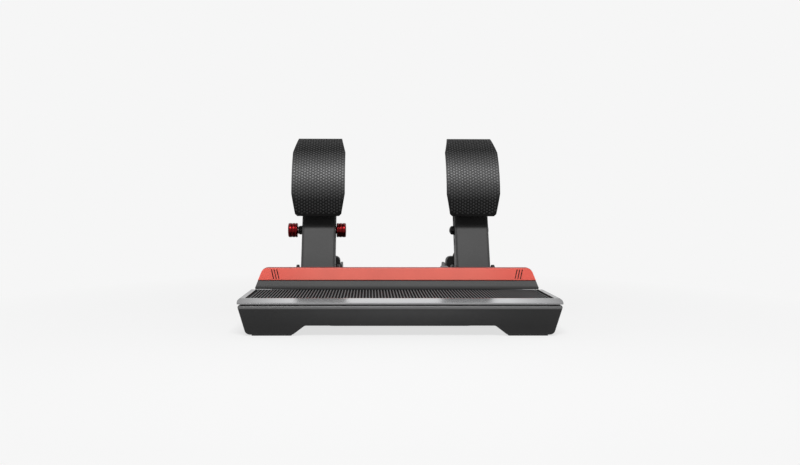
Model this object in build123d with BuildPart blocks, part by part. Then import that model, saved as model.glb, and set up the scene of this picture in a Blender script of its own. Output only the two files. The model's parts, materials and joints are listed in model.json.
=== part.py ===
from build123d import *
import os
from math import atan2, cos, degrees, hypot, pi, radians, sin, sqrt, tan

os.makedirs("parts", exist_ok=True)

# Pedal set with two pedals on a base with a heel rest, in millimetres.
# X runs to the driver's right, Y away from the driver and Z up from the floor.
# Depths are measured back from the front edge of the heel rest.

# Whole set
overall_width = 350.0
cut_over = 1.0
loose_gap = 0.3
run_gap = 0.05

# Heel rest top plate
heel_depth = 97.0
heel_height = 39.8
top_thickness = 5.2
bevel_depth = 12.0
bevel_rise = 4.0
side_bevel = 1.5
top_corner = 3.0
recess_front = 13.4
recess_side = 7.0
recess_rear = 2.0
recess_depth = 2.4
recess_corner = 2.0

# Tread mat
mat_web = 1.3
rib_height = 0.9
rib_pitch = 3.5
rib_crest_share = 0.46
rib_foot_share = 0.8
mat_border = 1.8

# Heel rest skirt with its two foot lobes
groove_height = 1.2
groove_inset = 3.4
rim_width = 3.0
skirt_inset = 0.3
skirt_wall = 3.0
skirt_draft = 15.0
skirt_lean = 6.2
skirt_shoulder = 2.0
skirt_foot_round = 1.6
lobe_width = 59.5
lobe_slope_run = 13.0
lobe_round = 6.0
lobe_inner_round = 4.0
notch_height = 11.1
notch_round = 5.0
boss_radius = 5.0
boss_margin = 18.0
boss_start = 34.0
boss_rear = 17.0
plate_screw_inner_x = 45.0
plate_screw_margin = 35.0
plate_screw_start = 24.0
plate_screw_rear = 13.0
small_screw_radius = 2.0
small_head_radius = 3.6
small_head_height = 2.4
small_thread_depth = 2.2
socket_share = 0.75

# Rubber pads under the lobes
pad_flange = 1.2
pad_plug = 4.0
pad_inset = 1.6

# Steel base plate and its feet
foot_height = 10.0
base_thickness = 4.0
base_side = 15.0
base_rear = 12.0
tongue_gap = 24.5
tongue_start = 11.0
base_gap = 2.0
base_corner = 12.0
base_inner_round = 6.0
foot_radius = 13.0
foot_neck_radius = 2.6
foot_taper = 2.0
foot_margin = 32.0
foot_front = 19.0
foot_rear = 16.0
rig_hole_radius = 3.3
rig_hole_margin = 18.0
rig_hole_front = 51.0
rig_hole_rear = 30.0

# Kick plate and its trim
kick_sheet = 2.5
kick_lean = 12.0
kick_air = 1.4
kick_draft = 20.5
kick_length = 24.6
kick_side = 5.5
kick_web_inset = 19.5
kick_flange = 20.0
kick_hem = 7.0
kick_bend = 3.0
kick_corner = 8.0
kick_screw_inner_x = 60.0
kick_screw_margin = 25.0
kick_screw_back = 13.0
trim_thickness = 1.5
trim_start = 9.3
trim_edge = 0.8
stripe_count = 3
stripe_width = 1.2
stripe_pitch = 3.2
stripe_side = 18.5
stripe_lean = 14.4
stripe_margin = 1.6

# Medium screws
bolt_radius = 2.5
bolt_head_radius = 4.4
bolt_head_height = 3.0
nut_height = 4.0

# Pedal modules: a frame, an arm and a push rod each
module_side = 61.9
module_gap = 25.8
frame_sheet = 3.0
frame_inner = 48.4
frame_waist_rise = 15.3
frame_waist_run = 70.9
frame_step_run = 12.0
frame_rear_rise = 41.3
frame_rear_run = 46.0
frame_tail_run = 12.0
frame_tail_rise = 28.3
frame_bend = 8.0
frame_slope = 35.0
frame_screw_radius = 3.0
frame_head_radius = 5.0
frame_head_height = 6.0
frame_screw_x = 14.0
frame_screw_back = 34.9
frame_screw_pitch = 30.0
frame_adjust = 40.0
frame_nut_radius = 6.0
frame_nut_height = 5.0

# Pivot
pivot_rise = 36.3
ear_radius = 14.0
axle_radius = 5.0
bush_radius = 7.0
bush_flange_radius = 9.5
axle_head_radius = 8.0
axle_head_height = 3.5
clip_radius = 8.0
clip_thickness = 1.4
clip_groove = 0.8
axle_tail = 2.2
magnet_radius = 3.0
magnet_depth = 1.8

# Arm
arm_lean = 20.0
arm_width = 42.8
arm_sheet = 3.0
arm_length = 150.0
arm_taper_start = 100.0
arm_top_back = 6.0
arm_bend = 3.5
arm_web_start = 6.0
pin_reach = 60.7
pin_spare_step = 16.0

# Pedal plate and its bracket
plate_radius = 86.0
plate_thickness = 4.0
plate_width = 67.4
plate_centre_back = 77.9
plate_centre_rise = 99.5
plate_drop = 23.8
plate_height = 101.6
plate_low_kink_rise = 28.3
plate_high_kink_drop = 19.7
plate_chin_rise = 2.7
plate_top_width = 57.0
plate_low_width = 58.4
plate_chin_width = 52.6
plate_edge = 0.8
bracket_length = 42.0
bracket_web_half = 15.0
bracket_sheet = 3.0
bracket_flange_half = 23.0
bracket_bolt_step = 20.0
bracket_screw_x = 19.0
bracket_screw_step = 26.0
plate_screw_bite = 3.2

# Cross pin, knobs and nuts
pin_radius = 4.0
knob_radius = 9.2
knob_length = 12.0
knob_rim = 1.2
knob_neck = 0.8
knob_wall = 2.0
knob_groove = 0.6
cap_nut_radius = 6.4
cap_nut_hex = 3.4
cap_nut_dome = 2.7
dome_shoulder_share = 0.75
collar_dome = 2.0
collar_tip_radius = 4.7
pin_head_radius = 5.0
pin_head_height = 1.4

# Push rod, along its own axis from the cross pin
rod_droop = 31.0
rod_radius = 4.0
rod_end = 123.0
eye_radius = 9.0
eye_half = 6.5
spacer_radius = 6.5
preload_start = 20.0
preload_height = 6.0
preload_radius = 8.0
cup_radius = 14.0
cup_thickness = 3.0
cup_lip = 1.4
cup_lip_wall = 1.6
seat_reach = 80.0
seat_radius = 16.0
rear_seat_reach = 112.0
rear_seat_radius = 9.5
guide_radius = 5.3
stop_height = 6.0
cell_thickness = 6.0
cell_radius = 14.0
cell_step = 2.0
cell_ring_share = 0.7
disc_count = 4
disc_radius = 11.8
disc_bulge = 1.3
disc_bore = 4.8
spring_wire = 1.2
spring_radius = 9.0
spring_turns = 6.5
spring_end_turns = 1.0
spring_end_gap = 0.6
rear_cup_thickness = 2.0
rear_cup_radius = 13.0

# Rear housing of each module
housing_width = 48.0
housing_back = 77.9
housing_length = 33.0
housing_height = 51.3
housing_chin_rise = 27.3
housing_shoulder = 6.5
housing_seat_setback = 1.0
housing_rear_slope = 5.0
housing_core_height = 13.0
housing_core_wall = 7.0
housing_bolt_rise = 17.0
housing_bolt_inset = 9.0
housing_bolt_bite = 9.0

# Throttle sensor beside the pivot axle
sensor_air = 1.0
sensor_thickness = 8.0
sensor_length = 28.0
sensor_height = 36.0
sensor_drop = 6.0
sensor_corner = 4.0
sensor_leg_radius = 3.5
sensor_leg_drop = 20.8
sensor_leg_step = 14.0
sensor_screw_bite = 4.0

# Controller box between the modules
box_width = 78.0
box_length = 52.0
box_height = 19.0
box_wall = 2.2
box_lid = 2.4
box_back = 58.9
box_corner = 5.0
box_post_radius = 3.2
box_post_bite = 0.6
socket_width = 12.6
socket_height = 7.0
socket_depth = 8.0
socket_wall = 0.8
socket_pitch = 22.0
socket_lift = 6.0
socket_corner = 1.0

# Worked out from the sizes above, across the set
base_width = overall_width - 2 * base_side
module_x = base_width / 2 - module_side
lobe_inner_x = overall_width / 2 - lobe_width
tongue_width = 2 * (lobe_inner_x - lobe_slope_run - tongue_gap)
boss_x = tongue_width / 2 - boss_margin
plate_screw_x = (plate_screw_inner_x, overall_width / 2 - plate_screw_margin)
foot_x = base_width / 2 - foot_margin
rig_hole_x = base_width / 2 - rig_hole_margin
kick_half_width = overall_width / 2 - kick_side
kick_web_half = kick_half_width - kick_web_inset
kick_screw_x = (kick_screw_inner_x, kick_web_half - kick_screw_margin)
stripe_outer_x = kick_half_width - stripe_side

# Depths, from the heel rest to the rear end of the modules
boss_depths = (boss_start, heel_depth - boss_rear)
plate_screw_depths = (plate_screw_start, heel_depth - plate_screw_rear)
base_start = heel_depth + base_gap
kick_screw_depth = heel_depth + kick_screw_back
pivot_depth = heel_depth + loose_gap + kick_flange + module_gap + ear_radius
frame_waist_end = pivot_depth + frame_waist_run
frame_rear_start = frame_waist_end + frame_step_run
frame_rear_end = frame_rear_start + frame_rear_run
frame_end = frame_rear_end + frame_tail_run
frame_screw_depths = (pivot_depth + frame_screw_back, pivot_depth + frame_screw_back + frame_screw_pitch)
plate_centre_depth = pivot_depth + plate_centre_back
housing_front = pivot_depth + housing_back
housing_rear = housing_front + housing_length
box_depth = pivot_depth + box_back
overall_length = frame_end + base_rear
front_y = -overall_length / 2
foot_depths = (base_start + foot_front, overall_length - foot_rear)
rig_hole_depths = (base_start + rig_hole_front, overall_length - rig_hole_rear)

# Heights, from the floor
top_under = heel_height - top_thickness
skirt_top = top_under - groove_height
deck_under = skirt_top - skirt_wall
skirt_half = overall_width / 2 - skirt_inset
skirt_front = front_y + skirt_inset
heel_rear = front_y + heel_depth
base_top = foot_height + base_thickness
floor_top = base_top + frame_sheet
kick_bottom = heel_height + kick_air
frame_waist_height = floor_top + frame_waist_rise
frame_rear_height = floor_top + frame_rear_rise
frame_end_height = floor_top + frame_tail_rise
pivot_height = base_top + pivot_rise
plate_centre_height = pivot_height + plate_centre_rise
plate_low_height = plate_centre_height - plate_drop
plate_chin_height = plate_low_height + plate_chin_rise
plate_low_kink = plate_low_height + plate_low_kink_rise
plate_high_height = plate_low_height + plate_height
plate_high_kink = plate_high_height - plate_high_kink_drop
housing_top = floor_top + housing_height
housing_chin = floor_top + housing_chin_rise
housing_bolt_height = floor_top + housing_bolt_rise
sensor_leg_height = pivot_height - sensor_leg_drop
kick_front = heel_rear + loose_gap
frame_half = frame_inner / 2 + frame_sheet
arm_half = arm_width / 2
arm_inner_half = arm_half - arm_sheet


def at(depth):
    """The Y of a depth behind the heel rest's front edge."""
    return front_y + depth


def skirt_half_at(height):
    """Half the skirt's width at a height, between its leaning sides."""
    return skirt_half - (skirt_top - height) * tan(radians(skirt_draft))


box_y = at(box_depth + box_length / 2)
post_x = box_width / 2 - box_wall - box_post_radius + box_post_bite
post_y = box_length / 2 - box_wall - box_post_radius + box_post_bite


def finish(builder, name):
    """Labels a finished piece and writes it."""
    builder.part.label = name
    export_step(builder.part, "parts/" + name + ".step")


# Planes of a module, for its centre x
def arm_plane(x):
    """Local x runs up the arm, local y towards the driver, from the pivot."""
    lean = radians(arm_lean)
    return Plane(
        origin=(x, at(pivot_depth), pivot_height),
        x_dir=(0, sin(lean), cos(lean)),
        z_dir=(1, 0, 0),
    )


def on_arm(reach, forward):
    """The Y and Z of a point at a reach up the arm and a distance forward of its axis."""
    lean = radians(arm_lean)
    y = at(pivot_depth) + reach * sin(lean) - forward * cos(lean)
    z = pivot_height + reach * cos(lean) + forward * sin(lean)
    return y, z


pin_y, pin_z = on_arm(pin_reach, 0)
rod_dir = (0, cos(radians(rod_droop)), -sin(radians(rod_droop)))


def rod_plane(x, reach):
    """Square to the push rod, at a reach from the cross pin."""
    origin = (x, pin_y + reach * rod_dir[1], pin_z + reach * rod_dir[2])
    return Plane(origin=origin, x_dir=(1, 0, 0), z_dir=rod_dir)


def side_plane(x):
    """Looks along +X, so local x is Y and local y is Z."""
    return Plane.YZ.offset(x)


def front_plane(y):
    """Looks towards the driver, so local x is X and local y is Z."""
    return Plane.XZ.offset(-y)


# Heel rest top plate: a bevelled front, small side bevels and a recess for the mat
with BuildPart() as heel_top:
    with BuildSketch(side_plane(0)):
        with BuildLine():
            Polyline(
                (front_y, top_under),
                (heel_rear, top_under),
                (heel_rear, heel_height),
                (front_y + bevel_depth, heel_height),
                (front_y, heel_height - bevel_rise),
                close=True,
            )
        make_face()
    extrude(amount=overall_width / 2, both=True)
    upright = heel_top.edges().filter_by(Axis.Z).group_by(Axis.Y)[0]
    fillet(upright, radius=top_corner)
    sides = heel_top.edges().filter_by(Axis.Y).group_by(Axis.Z)[-1]
    chamfer(sides, length=side_bevel)
    with BuildSketch(Plane.XY.offset(heel_height - recess_depth)):
        recess_length = heel_depth - recess_front - recess_rear
        with Locations((0, front_y + recess_front + recess_length / 2)):
            RectangleRounded(overall_width - 2 * recess_side, recess_length, recess_corner)
    extrude(amount=recess_depth + cut_over, mode=Mode.SUBTRACT)
    with BuildSketch(Plane.XY.offset(top_under)):
        for depth in plate_screw_depths:
            for reach in plate_screw_x:
                with Locations((reach, at(depth)), (-reach, at(depth))):
                    Circle(small_screw_radius + run_gap)
    extrude(amount=small_thread_depth, mode=Mode.SUBTRACT)
finish(heel_top, "heel_top")

# Tread mat: a ribbed strip with a plain border at the front
mat_length = recess_length - 2 * loose_gap
mat_half = overall_width / 2 - recess_side - loose_gap
mat_floor = heel_height - recess_depth
rib_count = int((2 * mat_half - 2 * mat_border) / rib_pitch)
rib_first = -(rib_count - 1) / 2 * rib_pitch
rib_line = [(-mat_half, mat_floor), (-mat_half, mat_floor + mat_web)]
for number in range(rib_count):
    middle = rib_first + number * rib_pitch
    foot = rib_foot_share * rib_pitch / 2
    crest = rib_crest_share * rib_pitch / 2
    rib_line += [
        (middle - foot, mat_floor + mat_web),
        (middle - crest, mat_floor + mat_web + rib_height),
        (middle + crest, mat_floor + mat_web + rib_height),
        (middle + foot, mat_floor + mat_web),
    ]
rib_line += [(mat_half, mat_floor + mat_web), (mat_half, mat_floor)]
with BuildPart() as tread_mat:
    with BuildSketch(front_plane(at(recess_front) + loose_gap + mat_border)):
        with BuildLine():
            Polyline(*rib_line, close=True)
        make_face()
    extrude(amount=-(mat_length - mat_border))
    with BuildSketch(Plane.XY.offset(mat_floor)):
        with Locations((0, at(recess_front) + loose_gap + mat_border / 2)):
            Rectangle(2 * mat_half, mat_border)
    extrude(amount=mat_web + rib_height)
    with BuildSketch(Plane.XY.offset(mat_floor)):
        with Locations((0, at(recess_front) + loose_gap + mat_length / 2)):
            RectangleRounded(2 * mat_half, mat_length, recess_corner)
    extrude(amount=mat_web + rib_height, mode=Mode.INTERSECT)
finish(tread_mat, "tread_mat")

# Heel rest skirt: a drafted tray with two hollow foot lobes, ribs and bosses
slope_rise = notch_height - pad_flange
slope_angle = atan2(slope_rise, lobe_slope_run)
rib_inner_x = lobe_inner_x - lobe_slope_run
rib_outer_x = rib_inner_x + skirt_wall
slope_lift = skirt_wall / cos(slope_angle)
side_wall = skirt_wall / cos(radians(skirt_draft))


def lobe_slope_at(x):
    """Height of the inside of the lobe's sloping wall at an x."""
    return notch_height + slope_lift - (x - rib_inner_x) * tan(slope_angle)


def lobe_slope_x(height):
    """Where the inside of the lobe's sloping wall reaches a height."""
    return rib_inner_x + (notch_height + slope_lift - height) / tan(slope_angle)


with BuildPart() as heel_skirt:
    with BuildSketch(front_plane(skirt_front)) as outline:
        with BuildLine():
            Polyline(
                (0, skirt_top),
                (skirt_half, skirt_top),
                (skirt_half_at(pad_flange), pad_flange),
                (lobe_inner_x, pad_flange),
                (rib_inner_x, notch_height),
                (0, notch_height),
            )
            mirror(about=Plane.YZ)
        make_face()
        for reach, radius in (
            (skirt_half_at(pad_flange), lobe_round),
            (lobe_inner_x, lobe_inner_round),
            (rib_inner_x, notch_round),
        ):
            corners = outline.vertices().filter_by(lambda v: abs(abs(v.X) - reach) < cut_over)
            fillet(corners, radius=radius)
    extrude(amount=-(heel_depth - skirt_inset))
    with BuildSketch(side_plane(0)):
        with BuildLine():
            Polyline(
                (skirt_front, skirt_top),
                (skirt_front + skirt_lean, 0),
                (skirt_front - cut_over, 0),
                (skirt_front - cut_over, skirt_top),
                close=True,
            )
        make_face()
    extrude(amount=overall_width, both=True, mode=Mode.SUBTRACT)
    front_face = heel_skirt.faces().sort_by(Axis.Y)[0]
    foot_edges = front_face.edges().filter_by(lambda e: e.center().Z < skirt_top - cut_over)
    fillet(foot_edges, radius=skirt_foot_round)
    top_edges = heel_skirt.edges().group_by(Axis.Z)[-1]
    fillet(top_edges.filter_by(lambda e: e.center().Y < heel_rear - cut_over), radius=skirt_shoulder)
    # the hollow inside, open below, in three bays
    bay_front = skirt_front + skirt_lean + skirt_wall
    bay_length = heel_rear - skirt_wall - bay_front
    with BuildSketch(front_plane(bay_front)):
        with Locations((0, deck_under / 2 - cut_over / 2)):
            Rectangle(2 * rib_inner_x, deck_under + cut_over)
        with BuildLine():
            Polyline(
                (rib_outer_x, deck_under),
                (rib_outer_x, lobe_slope_at(rib_outer_x)),
                (lobe_slope_x(-cut_over), -cut_over),
                (skirt_half_at(-cut_over) - side_wall, -cut_over),
                (skirt_half_at(deck_under) - side_wall, deck_under),
                close=True,
            )
        lobe_bay = make_face()
        mirror(lobe_bay, about=Plane.YZ)
    extrude(amount=-bay_length, mode=Mode.SUBTRACT)
    # the base plate's tongue passes under the rear wall
    with BuildSketch(front_plane(heel_rear + cut_over)):
        Rectangle(tongue_width + 2 * skirt_wall, 2 * (base_top + loose_gap))
    extrude(amount=skirt_wall + 2 * cut_over, mode=Mode.SUBTRACT)
    # a rim and pads that carry the top plate, set back to leave a dark groove
    with BuildSketch(Plane.XY.offset(skirt_top)):
        rim_length = heel_depth - skirt_inset - 2 * groove_inset
        rim_half = skirt_half - groove_inset
        with Locations((0, skirt_front + groove_inset + rim_length / 2)):
            Rectangle(2 * rim_half, rim_length)
            Rectangle(2 * (rim_half - rim_width), rim_length - 2 * rim_width, mode=Mode.SUBTRACT)
        for depth in plate_screw_depths:
            for reach in plate_screw_x:
                with Locations((reach, at(depth)), (-reach, at(depth))):
                    Circle(boss_radius)
    extrude(amount=groove_height)
    # bosses that stand on the base plate
    with BuildSketch(Plane.XY.offset(base_top)):
        for depth in boss_depths:
            with Locations((boss_x, at(depth)), (-boss_x, at(depth))):
                Circle(boss_radius)
    extrude(amount=deck_under - base_top)
    with BuildSketch(Plane.XY.offset(base_top)):
        for depth in boss_depths:
            with Locations((boss_x, at(depth)), (-boss_x, at(depth))):
                Circle(small_screw_radius + run_gap)
    extrude(amount=(deck_under - base_top) / 2, mode=Mode.SUBTRACT)
    with BuildSketch(Plane.XY.offset(deck_under)):
        for depth in plate_screw_depths:
            for reach in plate_screw_x:
                with Locations((reach, at(depth)), (-reach, at(depth))):
                    Circle(small_screw_radius + run_gap)
    extrude(amount=skirt_wall + groove_height + cut_over, mode=Mode.SUBTRACT)
finish(heel_skirt, "heel_skirt")

# Rubber pads under the lobes, with a plug that fills each lobe's mouth
with BuildPart() as lobe_pads:
    pad_in = lobe_inner_x + pad_inset
    pad_out = skirt_half_at(pad_flange) - lobe_round
    pad_start = skirt_front + skirt_lean + pad_inset
    pad_end = heel_rear - pad_inset
    plug_in = lobe_slope_x(pad_flange) + loose_gap
    plug_out = skirt_half_at(pad_flange) - side_wall - loose_gap
    plug_start = bay_front + loose_gap
    plug_end = heel_rear - skirt_wall - loose_gap
    with BuildSketch():
        for side in (-1, 1):
            with Locations((side * (pad_in + pad_out) / 2, (pad_start + pad_end) / 2)):
                RectangleRounded(pad_out - pad_in, pad_end - pad_start, pad_inset)
    extrude(amount=pad_flange)
    with BuildSketch(Plane.XY.offset(pad_flange)):
        for side in (-1, 1):
            with Locations((side * (plug_in + pad_out) / 2, (plug_start + plug_end) / 2)):
                RectangleRounded(pad_out - plug_in, plug_end - plug_start, pad_inset)
    extrude(amount=pad_plug)
finish(lobe_pads, "lobe_pads")


def screw_set(name, groups, nuts=()):
    """Socket screws in groups: places, the plane under the heads, shank, length, head and head height.

    Each shank runs along its plane's normal. Nuts are given as places, plane, radius and height.
    """
    with BuildPart() as screws:
        for places, plane, shank, length, head, height in groups:
            with BuildSketch(plane):
                with Locations(*places):
                    Circle(shank)
            extrude(amount=length)
            with BuildSketch(plane):
                with Locations(*places):
                    Circle(head)
            extrude(amount=-height)
            outward = Axis(plane.origin, -plane.z_dir)
            tops = screws.faces(Select.LAST).sort_by(outward)[-len(places):]
            chamfer(tops.edges(), length=height / 4)
            with BuildSketch(plane.offset(-height)):
                with Locations(*places):
                    RegularPolygon(shank * socket_share, 6)
            extrude(amount=height / 2, mode=Mode.SUBTRACT)
        for places, plane, radius, height in nuts:
            with BuildSketch(plane):
                with Locations(*places):
                    RegularPolygon(radius, 6)
            extrude(amount=height)
    finish(screws, name)


# Screws up through the skirt's deck into the top plate, and up through the base plate into the bosses
top_places = [
    (side * reach, at(depth))
    for depth in plate_screw_depths
    for reach in plate_screw_x
    for side in (-1, 1)
]
tongue_places = [(side * boss_x, at(depth)) for depth in boss_depths for side in (-1, 1)]
screw_set(
    "heel_screws",
    [
        (
            top_places,
            Plane.XY.offset(deck_under),
            small_screw_radius,
            skirt_wall + groove_height + small_thread_depth - loose_gap,
            small_head_radius,
            small_head_height,
        ),
        (
            tongue_places,
            Plane.XY.offset(foot_height),
            small_screw_radius,
            base_thickness + (deck_under - base_top) / 2 - loose_gap,
            small_head_radius,
            small_head_height,
        ),
    ],
)

# Steel base plate with a front tongue, slots for the modules and holes for a rig
slot_length = 2 * frame_screw_x + frame_adjust
with BuildPart() as base_plate:
    with BuildSketch(Plane.XY.offset(foot_height)) as base_outline:
        with BuildLine():
            Polyline(
                (-base_width / 2, at(overall_length)),
                (-base_width / 2, at(base_start)),
                (-tongue_width / 2, at(base_start)),
                (-tongue_width / 2, at(tongue_start)),
                (tongue_width / 2, at(tongue_start)),
                (tongue_width / 2, at(base_start)),
                (base_width / 2, at(base_start)),
                (base_width / 2, at(overall_length)),
                close=True,
            )
        make_face()
        outer_corners = base_outline.vertices().filter_by(lambda v: abs(v.X) > base_width / 2 - cut_over)
        fillet(outer_corners, radius=base_corner)
        inner_corners = base_outline.vertices().filter_by(
            lambda v: abs(v.Y - at(base_start)) < cut_over and abs(v.X) < tongue_width / 2 + cut_over
        )
        fillet(inner_corners, radius=base_inner_round)
        fillet(base_outline.vertices().group_by(Axis.Y)[0], radius=base_inner_round)
    extrude(amount=base_thickness)
    with BuildSketch(Plane.XY.offset(foot_height)):
        for side in (-1, 1):
            for depth in frame_screw_depths:
                with Locations((side * module_x, at(depth))):
                    SlotOverall(slot_length, 2 * (frame_screw_radius + loose_gap))
            for depth in rig_hole_depths:
                with Locations((side * rig_hole_x, at(depth))):
                    Circle(rig_hole_radius)
            for depth in foot_depths:
                with Locations((side * foot_x, at(depth))):
                    Circle(foot_neck_radius + run_gap)
            for depth in boss_depths:
                with Locations((side * boss_x, at(depth))):
                    Circle(small_screw_radius + run_gap)
            for reach in kick_screw_x:
                with Locations((side * reach, at(kick_screw_depth))):
                    Circle(bolt_radius + run_gap)
        with Locations((0, box_y)):
            with GridLocations(2 * post_x, 2 * post_y, 2, 2):
                Circle(small_screw_radius + run_gap)
    extrude(amount=base_thickness, mode=Mode.SUBTRACT)
finish(base_plate, "base_plate")

# Push-in rubber feet at the rear and behind the kick plate
with BuildPart() as rear_feet:
    with BuildSketch():
        for depth in foot_depths:
            with Locations((-foot_x, at(depth)), (foot_x, at(depth))):
                Circle(foot_radius - foot_taper)
    extrude(amount=foot_height, taper=-degrees(atan2(foot_taper, foot_height)))
    fillet(rear_feet.faces().group_by(Axis.Z)[0].edges(), radius=foot_taper / 2)
    with BuildSketch(Plane.XY.offset(foot_height)):
        for depth in foot_depths:
            with Locations((-foot_x, at(depth)), (foot_x, at(depth))):
                Circle(foot_neck_radius)
    extrude(amount=base_thickness - loose_gap)
finish(rear_feet, "rear_feet")

# Kick plate: one folded sheet with a flange, an upright web, a leaning face and a hem
lean = radians(kick_lean)
face_shift = kick_sheet / cos(lean)
kick_top = kick_bottom + kick_length * cos(lean)
kick_top_y = kick_front + kick_length * sin(lean)
hem_under = kick_top - kick_sheet
inner_top_y = kick_front + face_shift + (hem_under - kick_bottom) * tan(lean)
inner_fold = kick_bottom - (face_shift - kick_sheet) / tan(lean)
kick_top_half = kick_half_width - (kick_top - kick_bottom) * tan(radians(kick_draft))
with BuildPart() as kick_plate:
    with BuildSketch(side_plane(0)) as fold:
        with BuildLine():
            Polyline(
                (kick_front, base_top),
                (kick_front + kick_flange, base_top),
                (kick_front + kick_flange, base_top + kick_sheet),
                (kick_front + kick_sheet, base_top + kick_sheet),
                (kick_front + kick_sheet, inner_fold),
                (inner_top_y, hem_under),
                (kick_top_y + kick_hem, hem_under),
                (kick_top_y + kick_hem, kick_top),
                (kick_top_y, kick_top),
                (kick_front, kick_bottom),
                close=True,
            )
        make_face()
        bends = fold.vertices().filter_by(
            lambda v: hypot(v.X - kick_front, v.Y - base_top) < cut_over
            or hypot(v.X - kick_top_y, v.Y - kick_top) < cut_over
        )
        fillet(bends, radius=kick_bend)
    extrude(amount=kick_half_width, both=True)
    with BuildSketch(front_plane(kick_front - cut_over)) as kick_outline:
        with BuildLine():
            Polyline(
                (0, base_top),
                (kick_web_half, base_top),
                (kick_web_half, kick_bottom),
                (kick_half_width, kick_bottom),
                (kick_top_half, kick_top),
                (0, kick_top),
            )
            mirror(about=Plane.YZ)
        make_face()
        fillet(kick_outline.vertices().filter_by(lambda v: abs(v.Y - kick_top) < run_gap
                                                 and abs(v.X) > kick_web_half), radius=kick_corner)
    extrude(amount=-(kick_flange + 2 * cut_over), mode=Mode.INTERSECT)
    with BuildSketch(Plane.XY.offset(base_top)):
        for reach in kick_screw_x:
            with Locations((reach, at(kick_screw_depth)), (-reach, at(kick_screw_depth))):
                Circle(bolt_radius + run_gap)
    extrude(amount=kick_sheet, mode=Mode.SUBTRACT)
finish(kick_plate, "kick_plate")

# Trim on the kick plate's face, with diagonal slots at each end
face_plane = Plane(origin=(0, kick_front, kick_bottom), x_dir=(1, 0, 0), z_dir=(0, -cos(lean), sin(lean)))
draft_in_face = (kick_half_width - kick_top_half) / kick_length
trim_low_half = kick_half_width - trim_start * draft_in_face
trim_top = kick_length - kick_bend
trim_cap = kick_length - trim_edge
trim_cap_half = kick_half_width - trim_cap * draft_in_face
with BuildPart() as kick_trim:
    with BuildSketch(face_plane) as trim_outline:
        with BuildLine():
            Polyline(
                (0, trim_start),
                (trim_low_half, trim_start),
                (trim_cap_half, trim_cap),
                (0, trim_cap),
            )
            mirror(about=Plane.YZ)
        make_face()
        fillet(trim_outline.vertices().filter_by(lambda v: abs(v.Y - trim_cap) < run_gap
                                                 and abs(v.X) > kick_web_half), radius=kick_corner)
    extrude(amount=trim_thickness)
    rim_edges = kick_trim.faces().sort_by(Axis((0, 0, 0), face_plane.z_dir))[-1].edges()
    chamfer(rim_edges, length=trim_thickness / 3)
    stripe_low = trim_start + stripe_margin
    stripe_high = trim_cap - stripe_margin
    stripe_shift = (stripe_high - stripe_low) * tan(radians(stripe_lean))
    with BuildSketch(face_plane):
        for number in range(stripe_count):
            outer = stripe_outer_x - number * stripe_pitch
            with BuildLine():
                Polyline(
                    (outer, stripe_high),
                    (outer - stripe_width, stripe_high),
                    (outer - stripe_width - stripe_shift, stripe_low),
                    (outer - stripe_shift, stripe_low),
                    close=True,
                )
            make_face()
        mirror(about=Plane.YZ)
    extrude(amount=trim_thickness + cut_over, mode=Mode.SUBTRACT)
finish(kick_trim, "kick_trim")

kick_places = [(side * reach, -at(kick_screw_depth)) for reach in kick_screw_x for side in (-1, 1)]
screw_set(
    "kick_screws",
    [
        (
            kick_places,
            Plane(origin=(0, 0, base_top + kick_sheet), x_dir=(1, 0, 0), z_dir=(0, 0, -1)),
            bolt_radius,
            kick_sheet + base_thickness - loose_gap,
            bolt_head_radius,
            bolt_head_height,
        )
    ],
)


sensor_places = (
    (at(pivot_depth) - sensor_leg_step / 2, sensor_leg_height),
    (at(pivot_depth) + sensor_leg_step / 2, sensor_leg_height),
)


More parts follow.
